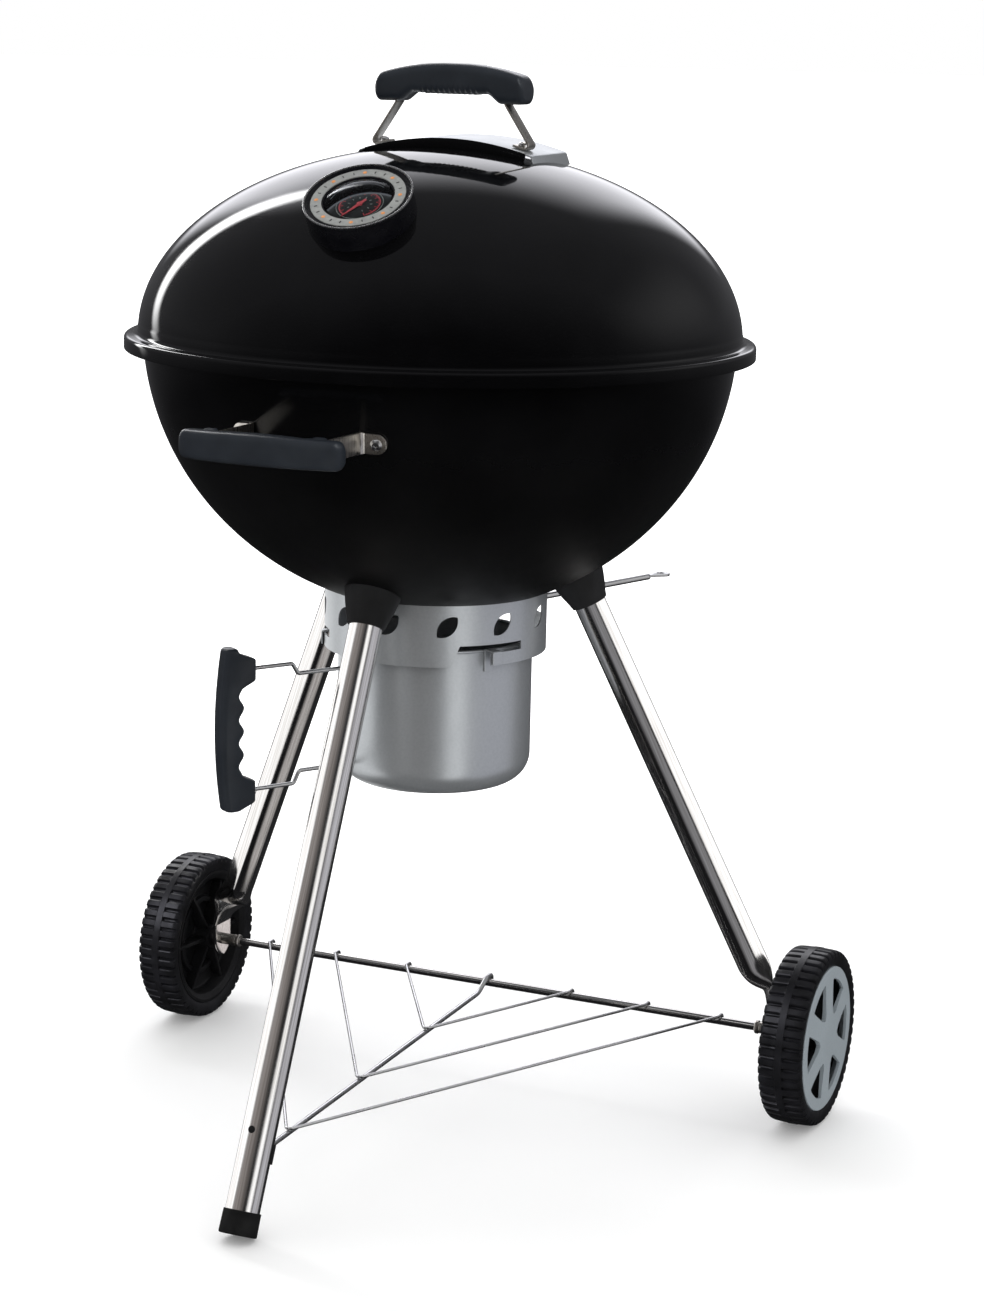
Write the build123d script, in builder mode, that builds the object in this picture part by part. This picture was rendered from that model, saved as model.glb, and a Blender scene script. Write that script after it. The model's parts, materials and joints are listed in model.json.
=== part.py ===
from build123d import *
import os
from math import cos, radians, sin, sqrt

# A kettle charcoal grill: a domed lid on a round bowl, carried by three splayed tube legs.
# Millimetres, +Z up. The front (-Y) is where the single leg without a wheel stands, and the
# right is +X. The origin is on the floor, under the middle of the whole outline.
# An azimuth is measured round the kettle's axis, from the front (-Y) towards the right (+X).

# ---------------------------------------------------------------- driving dimensions
KETTLE_Y = 16.0          # the kettle's upright axis stands this far behind the origin
SHEET = 1.5              # enamelled steel of lid and bowl
GAP = 0.3                # air between pieces of different bodies

RIM_R = 300.0            # outside of the lid's rolled skirt
RIM_TOP = 774.7
RIM_BOTTOM = 761.7
LID_R = 287.0            # the dome is half an ellipse, LID_R wide and LID_H high
LID_H = 178.0
LID_BASE = 775.0
BOWL_R = 282.5           # the bowl is most of half an ellipse, centred at BOWL_BASE
BOWL_H = 269.0
BOWL_BASE = 782.0
SEAT_Z = RIM_TOP - SHEET  # underside of the lid's flange

COLLAR_R = 107.8         # the ring below the bowl that carries the ash pot
COLLAR_WALL = 1.2
COLLAR_BOTTOM = 474.6
VENT_Z = 513.0
POT_R = 94.6
POT_WALL = 1.0
POT_TOP = 486.0
POT_BOTTOM = 343.1
HOOK_AZIMUTHS = (57.8, 177.8, 297.8)
LEVER_AZIMUTH = 150.0

TUBE_R = 15.75           # leg tube
TUBE_WALL = 1.2
SOCKET_Z = 518.0         # lower mouth of the leg sockets
FRONT_TOP = Vector(0, KETTLE_Y - 148.6, 520)
FRONT_FOOT = Vector(0, KETTLE_Y - 389.0, 0)
REAR_TOP = Vector(132.8, KETTLE_Y + 66.6, 520)
REAR_END = Vector(309.0, KETTLE_Y + 142.2, 119)

WHEEL_R = 88.7
WHEEL_IN = 328.2         # inner and outer faces of the wheels, from the middle
WHEEL_OUT = 373.0
AXLE_R = 4.0
AXLE_Y = KETTLE_Y + 142.2
TONGUE_X = 316.0         # the flattened leg ends run from here to TONGUE_X + TONGUE_T
TONGUE_T = 4.0

GRIP_Z = 708.0           # middle height of the two bowl handles
PLUG_Z = 85.0            # black plug in the front of the front leg
PLUG_R = 3.2
RACK_FRONT_Z = 69.0      # the rack's centre wire enters the back of the front leg here
CENTRE_WIRE_R = 2.5
POT_HANDLE_AZIMUTH = -31.0

AXIS = Axis((0, KETTLE_Y, 0), (0, 0, 1))
SEAM_AZIMUTH = 60.0      # round shells start here, away from every hole
SIDES = (("left", -1), ("right", 1))

os.makedirs("parts", exist_ok=True)


# ---------------------------------------------------------------- helpers
def save(piece, name):
    """Label a finished piece and write it under its own name."""
    piece.part.label = name
    export_step(piece.part, f"parts/{name}.step")


def level(z):
    """Horizontal plane at height z, with its origin on the kettle's axis."""
    return Plane(origin=(0, KETTLE_Y, z))


def outward(azimuth):
    """Horizontal unit vector pointing away from the kettle's axis."""
    return Vector(sin(radians(azimuth)), -cos(radians(azimuth)), 0)


def radial(azimuth):
    """Upright plane through the kettle's axis: x is the radius, y is the height."""
    out = outward(azimuth)
    return Plane(origin=(0, KETTLE_Y, 0), x_dir=out, z_dir=out.cross(Vector(0, 0, 1)))


def tangent(azimuth):
    """Upright plane on the kettle's axis facing azimuth: x runs round, y is the height."""
    out = outward(azimuth)
    return Plane(origin=(0, KETTLE_Y, 0), x_dir=Vector(0, 0, 1).cross(out), z_dir=out)


def dome_seat(r, azimuth):
    """Plane that touches the outside of the lid at radius r, its z pointing out of the lid."""
    height = LID_H * sqrt(1 - (r / LID_R) ** 2)
    slope = outward(azimuth) * (r / LID_R**2) + Vector(0, 0, height / LID_H**2)
    foot = Vector(0, KETTLE_Y, LID_BASE + height) + outward(azimuth) * r
    return Plane(origin=foot, x_dir=Vector(0, 0, 1).cross(outward(azimuth)), z_dir=slope)


def on_axis(start, end, z):
    """The point of the line through start and end at height z."""
    return start + (end - start) * ((z - start.Z) / (end.Z - start.Z))


def egg(base, half_width, height, top=False):
    """A solid half ellipsoid about the kettle's axis, hanging from base or standing on it."""
    first = 0 if top else 270
    with BuildPart() as solid:
        with BuildSketch(radial(SEAM_AZIMUTH)):
            with BuildLine():
                edge = EllipticalCenterArc((0, base), half_width, height, first, arc_size=90)
                Line(edge @ 0, (0, base))
                Line(edge @ 1, (0, base))
            make_face()
        revolve(axis=AXIS)
    return solid.part


# ---------------------------------------------------------------- bodies used to trim others
bowl_outside = egg(BOWL_BASE, BOWL_R, BOWL_H)
bowl_inside = egg(BOWL_BASE, BOWL_R - SHEET, BOWL_H - SHEET)
lid_outside = egg(LID_BASE, LID_R, LID_H, top=True)
lid_inside = egg(LID_BASE, LID_R - SHEET, LID_H - SHEET, top=True)

# ---------------------------------------------------------------- bowl
BOWL_LIP_TOP = SEAT_Z - GAP
BOWL_LIP_R = 297.0
VENT_MID_R = 60.0        # three radial vents through the bottom of the bowl
VENT_LENGTH = 52.0
VENT_WIDTH = 24.0
SHAFT_R = 4.0
RUNNING = 0.05           # radial clearance of everything that turns on a pin
SCREW_R = 3.0            # screws of the two bowl handles
SCREW_ANGLE = 14.1       # the screws stand this far to each side of a handle's middle
screw_planes = [tangent(middle + side * SCREW_ANGLE) for middle in (0, 180) for side in (-1, 1)]

with BuildPart() as bowl:
    add(bowl_outside)
    add(bowl_inside, mode=Mode.SUBTRACT)
    with BuildSketch(level(BOWL_LIP_TOP)):
        Circle(RIM_R)
    extrude(amount=20, mode=Mode.SUBTRACT)
    with BuildSketch(radial(0)):
        with BuildLine():
            Polyline(
                (BOWL_R - SHEET, BOWL_LIP_TOP - SHEET),
                (BOWL_LIP_R - SHEET, BOWL_LIP_TOP - SHEET),
                (BOWL_LIP_R - SHEET, RIM_BOTTOM + 4),
                (BOWL_LIP_R, RIM_BOTTOM + 4),
                (BOWL_LIP_R, BOWL_LIP_TOP),
                (BOWL_R - SHEET, BOWL_LIP_TOP),
                close=True,
            )
        make_face()
    revolve(axis=AXIS)
    with BuildSketch(level(500)):
        with PolarLocations(VENT_MID_R, 3):
            SlotOverall(VENT_LENGTH, VENT_WIDTH)
        Circle(SHAFT_R + RUNNING)
    extrude(amount=50, mode=Mode.SUBTRACT)
    for screw_plane in screw_planes:
        with BuildSketch(screw_plane.offset(BOWL_R - 40)):
            with Locations((0, GRIP_Z)):
                Circle(SCREW_R)
        extrude(amount=60, mode=Mode.SUBTRACT)
save(bowl, "bowl")

# ---------------------------------------------------------------- grates and their brackets
GRATE_Z = 735.0          # centre of the cooking grate's ring
GRATE_RING_R = 269.0
GRATE_RING_WIRE = 3.0
GRATE_WIRE = 2.2
GRATE_PITCH = 17.0
COALS_Z = 612.0
COALS_RING_R = 208.5
COALS_WIRE = 3.2
COALS_PITCH = 21.0
WELD = 0.6               # how far welded wires sink into each other


def grate(z, ring_r, ring_wire, bar_wire, pitch):
    """A round grate: a ring, parallel bars on top of it, and two cross bars under the bars."""
    bar_z = z + ring_wire + bar_wire - WELD
    rows = int((ring_r - pitch / 2) / pitch)
    with BuildPart() as piece:
        with Locations((0, KETTLE_Y, z)):
            Torus(ring_r, ring_wire)
        for row in range(-rows, rows + 1):
            y = row * pitch
            length = 2 * sqrt(ring_r**2 - y**2)
            with Locations(Location((0, KETTLE_Y + y, bar_z), (0, 90, 0))):
                Cylinder(bar_wire, length)
        for x in (-ring_r / 2, ring_r / 2):
            length = 2 * sqrt(ring_r**2 - x**2)
            with Locations(Location((x, KETTLE_Y, z), (90, 0, 0))):
                Cylinder(ring_wire, length)
    return piece


cooking_grate = grate(GRATE_Z, GRATE_RING_R, GRATE_RING_WIRE, GRATE_WIRE, GRATE_PITCH)
save(cooking_grate, "cooking_grate")

charcoal_grate = grate(COALS_Z, COALS_RING_R, COALS_WIRE, COALS_WIRE, COALS_PITCH)
save(charcoal_grate, "charcoal_grate")

with BuildPart() as grate_brackets:
    bracket_top = GRATE_Z - GRATE_RING_WIRE - GAP
    with BuildSketch(level(bracket_top - 3)):
        with PolarLocations(GRATE_RING_R, 4, start_angle=45):
            Rectangle(30, 18)
    extrude(amount=3)
    with BuildSketch(level(bracket_top - 18)):
        with PolarLocations(GRATE_RING_R + 4, 4, start_angle=45):
            Rectangle(22, 3)
    extrude(amount=15)
    add(bowl_inside, mode=Mode.INTERSECT)
save(grate_brackets, "grate_brackets")

# ---------------------------------------------------------------- lid
RIVET_R = 4.0
LID_VENT_R = 190.0       # where the lid's vent sits, at the back of the dome
LID_HOLE_R = 10.0
LID_HOLE_RING = 31.0
lid_vent_seat = dome_seat(LID_VENT_R, 180)
gauge_seat = dome_seat(203.3, 5)
STEM_R = 3.0
HANDLE_X = 9.0           # the lid's handle sits this far to the right of the kettle's axis
HANDLE_BOLT_X = 72.0     # bolts through handle strap, heat shield and lid
HANDLE_BOLT_R = 2.5
handle_plane = Plane(origin=(HANDLE_X, KETTLE_Y, 0), x_dir=(1, 0, 0), z_dir=(0, -1, 0))
bolt_spots = [(HANDLE_X - HANDLE_BOLT_X, 0), (HANDLE_X + HANDLE_BOLT_X, 0)]

with BuildPart() as lid:
    add(lid_outside)
    add(lid_inside, mode=Mode.SUBTRACT)
    with BuildSketch(radial(0)):
        with BuildLine():
            Polyline(
                (LID_R - SHEET, SEAT_Z),
                (RIM_R - SHEET, SEAT_Z),
                (RIM_R - SHEET, RIM_BOTTOM),
                (RIM_R, RIM_BOTTOM),
                (RIM_R, RIM_TOP - 1.6),
                (RIM_R - 1.6, RIM_TOP),
                (LID_R, RIM_TOP),
                (LID_R, LID_BASE),
                (LID_R - SHEET, LID_BASE),
                close=True,
            )
        make_face()
    revolve(axis=AXIS)
    with BuildSketch(lid_vent_seat.offset(-12)):
        with PolarLocations(LID_HOLE_RING, 4):
            Circle(LID_HOLE_R)
        Circle(RIVET_R)
    extrude(amount=24, mode=Mode.SUBTRACT)
    with BuildSketch(gauge_seat.offset(-12)):
        Circle(STEM_R)
    extrude(amount=24, mode=Mode.SUBTRACT)
    with BuildSketch(level(930)):
        with Locations(*bolt_spots):
            Circle(HANDLE_BOLT_R)
    extrude(amount=40, mode=Mode.SUBTRACT)
save(lid, "lid")

# ---------------------------------------------------------------- vent disc on the lid
DISC_R = 55.0
DISC_T = 1.2
DISC_BALL_R = 395.0      # the dome's larger radius of curvature at the vent
disc_section = Plane(origin=lid_vent_seat.origin, x_dir=lid_vent_seat.x_dir,
                     z_dir=lid_vent_seat.x_dir.cross(lid_vent_seat.z_dir))


def disc_drop(r):
    """How far the dished disc falls away at radius r from its rivet."""
    return r**2 / (2 * DISC_BALL_R)


def disc_curve(lift):
    """The disc's dished outline, lifted off the dome, from its bore to its edge."""
    radii = (RIVET_R + RUNNING, DISC_R / 2, DISC_R)
    return ThreePointArc(*((r, lift - disc_drop(r)) for r in radii))


with BuildPart() as lid_vent_disc:
    with BuildSketch(disc_section):
        with BuildLine():
            under = disc_curve(GAP + 0.3)
            over = disc_curve(GAP + 0.3 + DISC_T)
            Line(under @ 0, over @ 0)
            Line(under @ 1, over @ 1)
        make_face()
    revolve(axis=Axis(lid_vent_seat.origin, lid_vent_seat.z_dir))
    with BuildSketch(lid_vent_seat.offset(-6)):
        with PolarLocations(LID_HOLE_RING, 4):
            Circle(LID_HOLE_R)
    extrude(amount=12, mode=Mode.SUBTRACT)
    with BuildSketch(lid_vent_seat.offset(-3)):
        with Locations((DISC_R - 4, 0)):
            Rectangle(DISC_T, 16)
    extrude(amount=17)
    fillet(lid_vent_disc.edges().filter_by(Axis(lid_vent_seat.origin, lid_vent_seat.x_dir))
           .group_by(Axis(lid_vent_seat.origin, lid_vent_seat.z_dir))[-1], 5)
save(lid_vent_disc, "lid_vent_disc")

with BuildPart() as lid_vent_rivet:
    with BuildSketch(lid_vent_seat.offset(-SHEET - 3)):
        Circle(RIVET_R)
    extrude(amount=SHEET + 3 + GAP + 0.3 + DISC_T + 0.2)
    with BuildSketch(lid_vent_seat.offset(GAP + 0.3 + DISC_T + 0.2)):
        Circle(9)
    extrude(amount=2.5)
    fillet(lid_vent_rivet.faces().sort_by(Axis(lid_vent_seat.origin, lid_vent_seat.z_dir))[-1].edges(), 1.5)
    with BuildSketch(lid_vent_seat.offset(-SHEET - 5)):
        Circle(8)
    extrude(amount=2.4)
save(lid_vent_rivet, "lid_vent_rivet")

# ---------------------------------------------------------------- gauge on the lid
GAUGE_R = 50.0
GAUGE_FACE = 19.4        # the face stands this far off the dome
DIAL_R = 30.0            # the domed glass and the dial below it
SCALE_R = 43.0           # outside of the pale ring round the glass
DIAL_DEPTH = 9.0
POST_R = 1.0
gauge_face = gauge_seat.offset(GAUGE_FACE)
gauge_section = Plane(origin=gauge_face.origin, x_dir=gauge_face.x_dir,
                      z_dir=gauge_face.x_dir.cross(gauge_face.z_dir))
gauge_axis = Axis(gauge_face.origin, gauge_face.z_dir)

with BuildPart() as gauge_case:
    with BuildSketch(gauge_seat.offset(-12)):
        Circle(GAUGE_R - 0.8)
    extrude(amount=12 + GAUGE_FACE - 1)
    with BuildSketch(gauge_face.offset(-1)):
        Circle(GAUGE_R - 3.2)
    extrude(amount=-1.2, mode=Mode.SUBTRACT)
    with BuildSketch(gauge_face.offset(-1)):
        Circle(DIAL_R)
    extrude(amount=-DIAL_DEPTH, mode=Mode.SUBTRACT)
    with BuildSketch(gauge_seat.offset(-12)):
        Circle(STEM_R)
    extrude(amount=40, mode=Mode.SUBTRACT)
    add(lid_outside, mode=Mode.SUBTRACT)
save(gauge_case, "gauge_case")

with BuildPart() as gauge_bezel:
    with BuildSketch(gauge_face.offset(-1)):
        Circle(GAUGE_R)
        Circle(GAUGE_R - 3.2, mode=Mode.SUBTRACT)
    extrude(amount=1.6)
    chamfer(gauge_bezel.faces().sort_by(gauge_axis)[-1].edges(), 0.5)
save(gauge_bezel, "gauge_bezel")

with BuildPart() as gauge_scale_ring:
    with BuildSketch(gauge_face.offset(-2.2)):
        Circle(SCALE_R)
        Circle(DIAL_R + 3, mode=Mode.SUBTRACT)
    extrude(amount=0.9)
save(gauge_scale_ring, "gauge_scale_ring")

with BuildPart() as gauge_dial:
    with BuildSketch(gauge_face.offset(-1 - DIAL_DEPTH)):
        Circle(DIAL_R - 0.2)
        Circle(STEM_R, mode=Mode.SUBTRACT)
    extrude(amount=0.8)
save(gauge_dial, "gauge_dial")

with BuildPart() as gauge_glass:
    with BuildSketch(gauge_section):
        with BuildLine():
            under = ThreePointArc((-DIAL_R + 0.2, -2.4), (0, 0.6), (DIAL_R - 0.2, -2.4))
            over = ThreePointArc((-DIAL_R + 0.2, -0.9), (0, 2.4), (DIAL_R - 0.2, -0.9))
            Line(under @ 0, over @ 0)
            Line(under @ 1, over @ 1)
        make_face()
        with Locations((DIAL_R, 0)):
            Rectangle(2 * DIAL_R, 20, mode=Mode.INTERSECT)
    revolve(axis=gauge_axis)
save(gauge_glass, "gauge_glass")

with BuildPart() as gauge_stem:
    dial_top = GAUGE_FACE - 1 - DIAL_DEPTH + 0.8
    with BuildSketch(gauge_seat.offset(-58)):
        Circle(STEM_R)
    extrude(amount=58 + dial_top)
    with BuildSketch(gauge_seat.offset(dial_top)):
        Circle(POST_R)
    extrude(amount=3)
save(gauge_stem, "gauge_stem")

with BuildPart() as gauge_nut:
    with BuildSketch(gauge_seat.offset(-SHEET - 5)):
        RegularPolygon(8, 6)
        Circle(STEM_R, mode=Mode.SUBTRACT)
    extrude(amount=4.8)
save(gauge_nut, "gauge_nut")

with BuildPart() as gauge_pointer:
    with BuildSketch(gauge_face.offset(-1 - DIAL_DEPTH + 0.8 + GAP)):
        Circle(3)
        with BuildLine():
            Polyline((-1.6, 0), (-0.5, -23), (0.5, -23), (1.6, 0), (1.2, 8), (-1.2, 8), close=True)
        make_face()
        Circle(POST_R + RUNNING, mode=Mode.SUBTRACT)
    extrude(amount=1)
save(gauge_pointer, "gauge_pointer")

# ---------------------------------------------------------------- heat shield and lid handle
SHIELD_R = 300.0         # the shield is arched from left to right and dips a little to the front
SHIELD_TOP = 961.5       # top of its front edge
SHIELD_T = 1.2
SHIELD_X = 90.0
SHIELD_FRONT = 20.0      # its front edge is this far in front of the handle's middle
SHIELD_DEPTH = 82.0
SHIELD_LEAN = -1.2
SHIELD_LIP = 14.0        # a lip turned down along the front edge as far as the lid
SHIELD_LIP_X = 83.0
STRAP_X_TOP = 56.0
STRAP_X_FOOT = 85.0
STRAP_T = 2.2
STRAP_WIDTH = 16.0
LID_GRIP_DEPTH = 33.0
shield_front = Plane(
    origin=(HANDLE_X, KETTLE_Y - SHIELD_FRONT, SHIELD_TOP),
    x_dir=(1, 0, 0),
    z_dir=(0, -cos(radians(SHIELD_LEAN)), sin(radians(SHIELD_LEAN))),
)


def arch(x):
    """How far the shield's upper face falls at a distance x from its middle."""
    return SHIELD_R - sqrt(SHIELD_R**2 - x**2)


def shield_z(x):
    """Height of the shield's upper face under the handle."""
    return SHIELD_TOP - SHIELD_FRONT * sin(radians(SHIELD_LEAN)) - arch(x)


with BuildPart() as heat_shield:
    with BuildSketch(shield_front):
        with BuildLine():
            end_y = -arch(SHIELD_X)
            inner_x = SHIELD_X - SHIELD_T
            over = ThreePointArc((-SHIELD_X, end_y), (0, 0), (SHIELD_X, end_y))
            under = ThreePointArc((-inner_x, end_y - SHIELD_T), (0, -SHIELD_T), (inner_x, end_y - SHIELD_T))
            Polyline(over @ 0, (-SHIELD_X - 4, end_y - 12), (-inner_x - 4, end_y - 12), under @ 0)
            Polyline(over @ 1, (SHIELD_X + 4, end_y - 12), (inner_x + 4, end_y - 12), under @ 1)
        make_face()
    extrude(amount=-SHIELD_DEPTH)
    with BuildSketch(shield_front):
        with BuildLine():
            lip_y = -arch(SHIELD_LIP_X)
            over = ThreePointArc((-SHIELD_LIP_X, lip_y - 0.5), (0, -0.5), (SHIELD_LIP_X, lip_y - 0.5))
            under = ThreePointArc((-SHIELD_LIP_X, lip_y - SHIELD_LIP), (0, -SHIELD_LIP),
                                  (SHIELD_LIP_X, lip_y - SHIELD_LIP))
            Line(over @ 0, under @ 0)
            Line(over @ 1, under @ 1)
        make_face()
    extrude(amount=-SHIELD_T)
    add(lid_outside, mode=Mode.SUBTRACT)
    with BuildSketch(level(930)):
        with Locations(*bolt_spots):
            Circle(HANDLE_BOLT_R)
    extrude(amount=40, mode=Mode.SUBTRACT)
save(heat_shield, "heat_shield")

with BuildPart() as lid_handle_straps:
    for _, side in SIDES:
        foot_z = shield_z(STRAP_X_FOOT) + 0.6
        with BuildSketch(handle_plane):
            with BuildLine():
                FilletPolyline(
                    (side * (STRAP_X_FOOT - 20), foot_z + 6.5),
                    (side * STRAP_X_FOOT, foot_z + 1),
                    (side * STRAP_X_TOP, 994),
                    (side * STRAP_X_TOP, 1006),
                    radius=3,
                )
                offset(amount=STRAP_T / 2)
            make_face()
        extrude(amount=STRAP_WIDTH / 2, both=True)
    with BuildSketch(level(930)):
        with Locations(*bolt_spots):
            Circle(HANDLE_BOLT_R)
    extrude(amount=40, mode=Mode.SUBTRACT)
save(lid_handle_straps, "lid_handle_straps")

with BuildPart() as lid_handle_bolts:
    head_z = shield_z(HANDLE_BOLT_X) + 4.2
    with BuildSketch(level(head_z - 22)):
        with Locations(*bolt_spots):
            Circle(HANDLE_BOLT_R)
    extrude(amount=22)
    with BuildSketch(level(head_z)):
        with Locations(*bolt_spots):
            Circle(4.6)
    extrude(amount=3)
    fillet(lid_handle_bolts.faces().group_by(Axis.Z)[-1].edges(), 1.6)
    with BuildSketch(level(head_z - 19.4)):
        with Locations(*bolt_spots):
            RegularPolygon(5, 6)
    extrude(amount=4.5)
save(lid_handle_bolts, "lid_handle_bolts")

with BuildPart() as lid_handle_grip:
    with BuildSketch(handle_plane) as grip_outline:
        with BuildLine():
            crown = ThreePointArc((-72, 1019), (0, 1030), (72, 1019))
            Polyline(crown @ 1, (76.5, 1008), (74, 994), (51, 994), (45, 1001),
                     (-45, 1001), (-51, 994), (-74, 994), (-76.5, 1008), crown @ 0)
        make_face()
        fillet(grip_outline.vertices(), 4)
    extrude(amount=LID_GRIP_DEPTH / 2, both=True)
    fillet(lid_handle_grip.faces().filter_by(Plane.XZ).edges(), 3)
    with Locations(*((HANDLE_X + step * 7.5, KETTLE_Y, 1000.2) for step in range(-5, 6))):
        Cylinder(2.4, LID_GRIP_DEPTH + 2, rotation=(90, 0, 0), mode=Mode.SUBTRACT)
    add(lid_handle_straps.part, mode=Mode.SUBTRACT)
save(lid_handle_grip, "lid_handle_grip")

# ---------------------------------------------------------------- bowl handles
GRIP_X = 79.0
GRIP_HEIGHT = 29.0
GRIP_OUT = 371.0         # outermost point of the grip, from the kettle's axis
GRIP_IN = 341.0
STRAP_X = 53.0           # straight run of the straps, and its end inside the grip
STRAP_END = 358.0
PLATE_OUT = 277.2        # outer face of the straps' foot plates
PLATE_HEIGHT = 20.0


def grip_plane(middle):
    """Horizontal plane at grip height: x runs along the grip, y points away from the kettle."""
    out = outward(middle)
    return Plane(origin=(0, KETTLE_Y, GRIP_Z), x_dir=Vector(0, 0, 1).cross(out), z_dir=(0, 0, -1))


for name, middle in (("front", 0), ("rear", 180)):
    with BuildPart() as straps:
        for side in (-1, 1):
            with BuildSketch(tangent(middle + side * SCREW_ANGLE).offset(PLATE_OUT - 16)):
                with Locations((-side * 7.5, GRIP_Z)):
                    Rectangle(15, PLATE_HEIGHT)
                with Locations((0, GRIP_Z)):
                    Circle(PLATE_HEIGHT / 2)
                    Circle(SCREW_R, mode=Mode.SUBTRACT)
            extrude(amount=16)
        add(bowl_outside, mode=Mode.SUBTRACT)
        with BuildSketch(grip_plane(middle)):
            for side in (-1, 1):
                with Locations((side * STRAP_X, (STRAP_END + 270.5) / 2)):
                    Rectangle(STRAP_T, STRAP_END - 270.5)
        extrude(amount=PLATE_HEIGHT / 2, both=True)
    save(straps, f"{name}_handle_straps")

    with BuildPart() as grip:
        with BuildSketch(grip_plane(middle)) as outline:
            with BuildLine():
                bow = ThreePointArc((-GRIP_X + 4, GRIP_OUT - 10), (0, GRIP_OUT), (GRIP_X - 4, GRIP_OUT - 10))
                Polyline(bow @ 1, (GRIP_X, GRIP_IN + 12), (GRIP_X - 3, GRIP_IN), (50, GRIP_IN),
                         (44, GRIP_IN + 6), (-44, GRIP_IN + 6), (-50, GRIP_IN), (-GRIP_X + 3, GRIP_IN),
                         (-GRIP_X, GRIP_IN + 12), bow @ 0)
            make_face()
            fillet(outline.vertices(), 3)
        extrude(amount=GRIP_HEIGHT / 2, both=True)
        fillet(grip.faces().filter_by(Plane.XY).edges(), 5)
        add(straps.part, mode=Mode.SUBTRACT)
    save(grip, f"{name}_handle_grip")

with BuildPart() as handle_screws:
    for screw_plane in screw_planes:
        with BuildSketch(screw_plane.offset(PLATE_OUT - 18)):
            with Locations((0, GRIP_Z)):
                Circle(SCREW_R)
        extrude(amount=18)
        with BuildSketch(screw_plane.offset(PLATE_OUT)):
            with Locations((0, GRIP_Z)):
                Circle(5.5)
        extrude(amount=3, taper=20)
        with BuildSketch(screw_plane.offset(PLATE_OUT - 15)):
            with Locations((0, GRIP_Z)):
                RegularPolygon(5.8, 6)
        extrude(amount=4.5)
save(handle_screws, "handle_screws")

# ---------------------------------------------------------------- legs and their sockets
leg_ends = {
    "front": (FRONT_TOP, FRONT_FOOT),
    "left": (Vector(-REAR_TOP.X, REAR_TOP.Y, REAR_TOP.Z), Vector(-REAR_END.X, REAR_END.Y, REAR_END.Z)),
    "right": (REAR_TOP, REAR_END),
}
SOCKET_MOUTH_R = 18.0
SOCKET_ROOT_R = 26.5
SOCKET_CONE = 40.0
LEG_TOP_Z = 538.0
CAP_R = 17.6             # rubber cap on the front leg's foot
CAP_LENGTH = 22.0
CAP_MID_Z = 5.8          # height of the middle of the cap's end, so that its lower edge meets the floor
TONGUE_R = 16.6

for name, (top, end) in leg_ends.items():
    mouth = on_axis(top, end, SOCKET_Z)
    axis_plane = Plane(origin=mouth, z_dir=(top - end).normalized())
    with BuildPart() as socket:
        with BuildSketch(axis_plane):
            Circle(SOCKET_MOUTH_R)
        with BuildSketch(axis_plane.offset(SOCKET_CONE)):
            Circle(SOCKET_ROOT_R)
        loft()
        with BuildSketch(axis_plane.offset(SOCKET_CONE)):
            Circle(SOCKET_ROOT_R)
        extrude(amount=25)
        add(bowl_outside, mode=Mode.SUBTRACT)
        with BuildSketch(axis_plane.offset(-1)):
            Circle(TUBE_R)
        extrude(amount=LEG_TOP_Z - SOCKET_Z + 5, mode=Mode.SUBTRACT)
    save(socket, f"{name}_leg_socket")

with BuildPart() as front_leg:
    foot_mid = on_axis(FRONT_TOP, FRONT_FOOT, CAP_MID_Z)
    leg_up = (FRONT_TOP - FRONT_FOOT).normalized()
    leg_top = on_axis(FRONT_TOP, FRONT_FOOT, LEG_TOP_Z)
    tube_start = foot_mid + leg_up * 4
    with BuildSketch(Plane(origin=tube_start, z_dir=leg_up)):
        Circle(TUBE_R)
        Circle(TUBE_R - TUBE_WALL, mode=Mode.SUBTRACT)
    extrude(amount=(leg_top - tube_start).length)
    plug_mid = on_axis(FRONT_TOP, FRONT_FOOT, PLUG_Z)
    plug_plane = Plane(origin=plug_mid, z_dir=leg_up.cross(Vector(-1, 0, 0)))
    with BuildSketch(plug_plane):
        Circle(PLUG_R)
    extrude(amount=TUBE_R + 5, mode=Mode.SUBTRACT)
    rack_hole = on_axis(FRONT_TOP, FRONT_FOOT, RACK_FRONT_Z)
    with BuildSketch(Plane(origin=rack_hole, z_dir=(0, 1, 0))):
        Circle(CENTRE_WIRE_R + 0.2)
    extrude(amount=TUBE_R + 8, mode=Mode.SUBTRACT)
save(front_leg, "front_leg")

with BuildPart() as leg_plug:
    with BuildSketch(plug_plane.offset(TUBE_R - TUBE_WALL - 3)):
        Circle(PLUG_R)
    extrude(amount=TUBE_WALL + 3.6)
save(leg_plug, "leg_plug")

with BuildPart() as foot_cap:
    with BuildSketch(Plane(origin=foot_mid, z_dir=leg_up)):
        Circle(CAP_R)
    extrude(amount=CAP_LENGTH)
    fillet(foot_cap.edges().filter_by(GeomType.CIRCLE), 1.2)
    with BuildSketch(Plane(origin=tube_start, z_dir=leg_up)):
        Circle(TUBE_R)
        Circle(TUBE_R - TUBE_WALL, mode=Mode.SUBTRACT)
    extrude(amount=CAP_LENGTH, mode=Mode.SUBTRACT)
    with BuildSketch(Plane.XY):
        with Locations(FRONT_FOOT):
            Rectangle(80, 80)
    extrude(amount=-20, mode=Mode.SUBTRACT)
save(foot_cap, "foot_cap")

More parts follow.
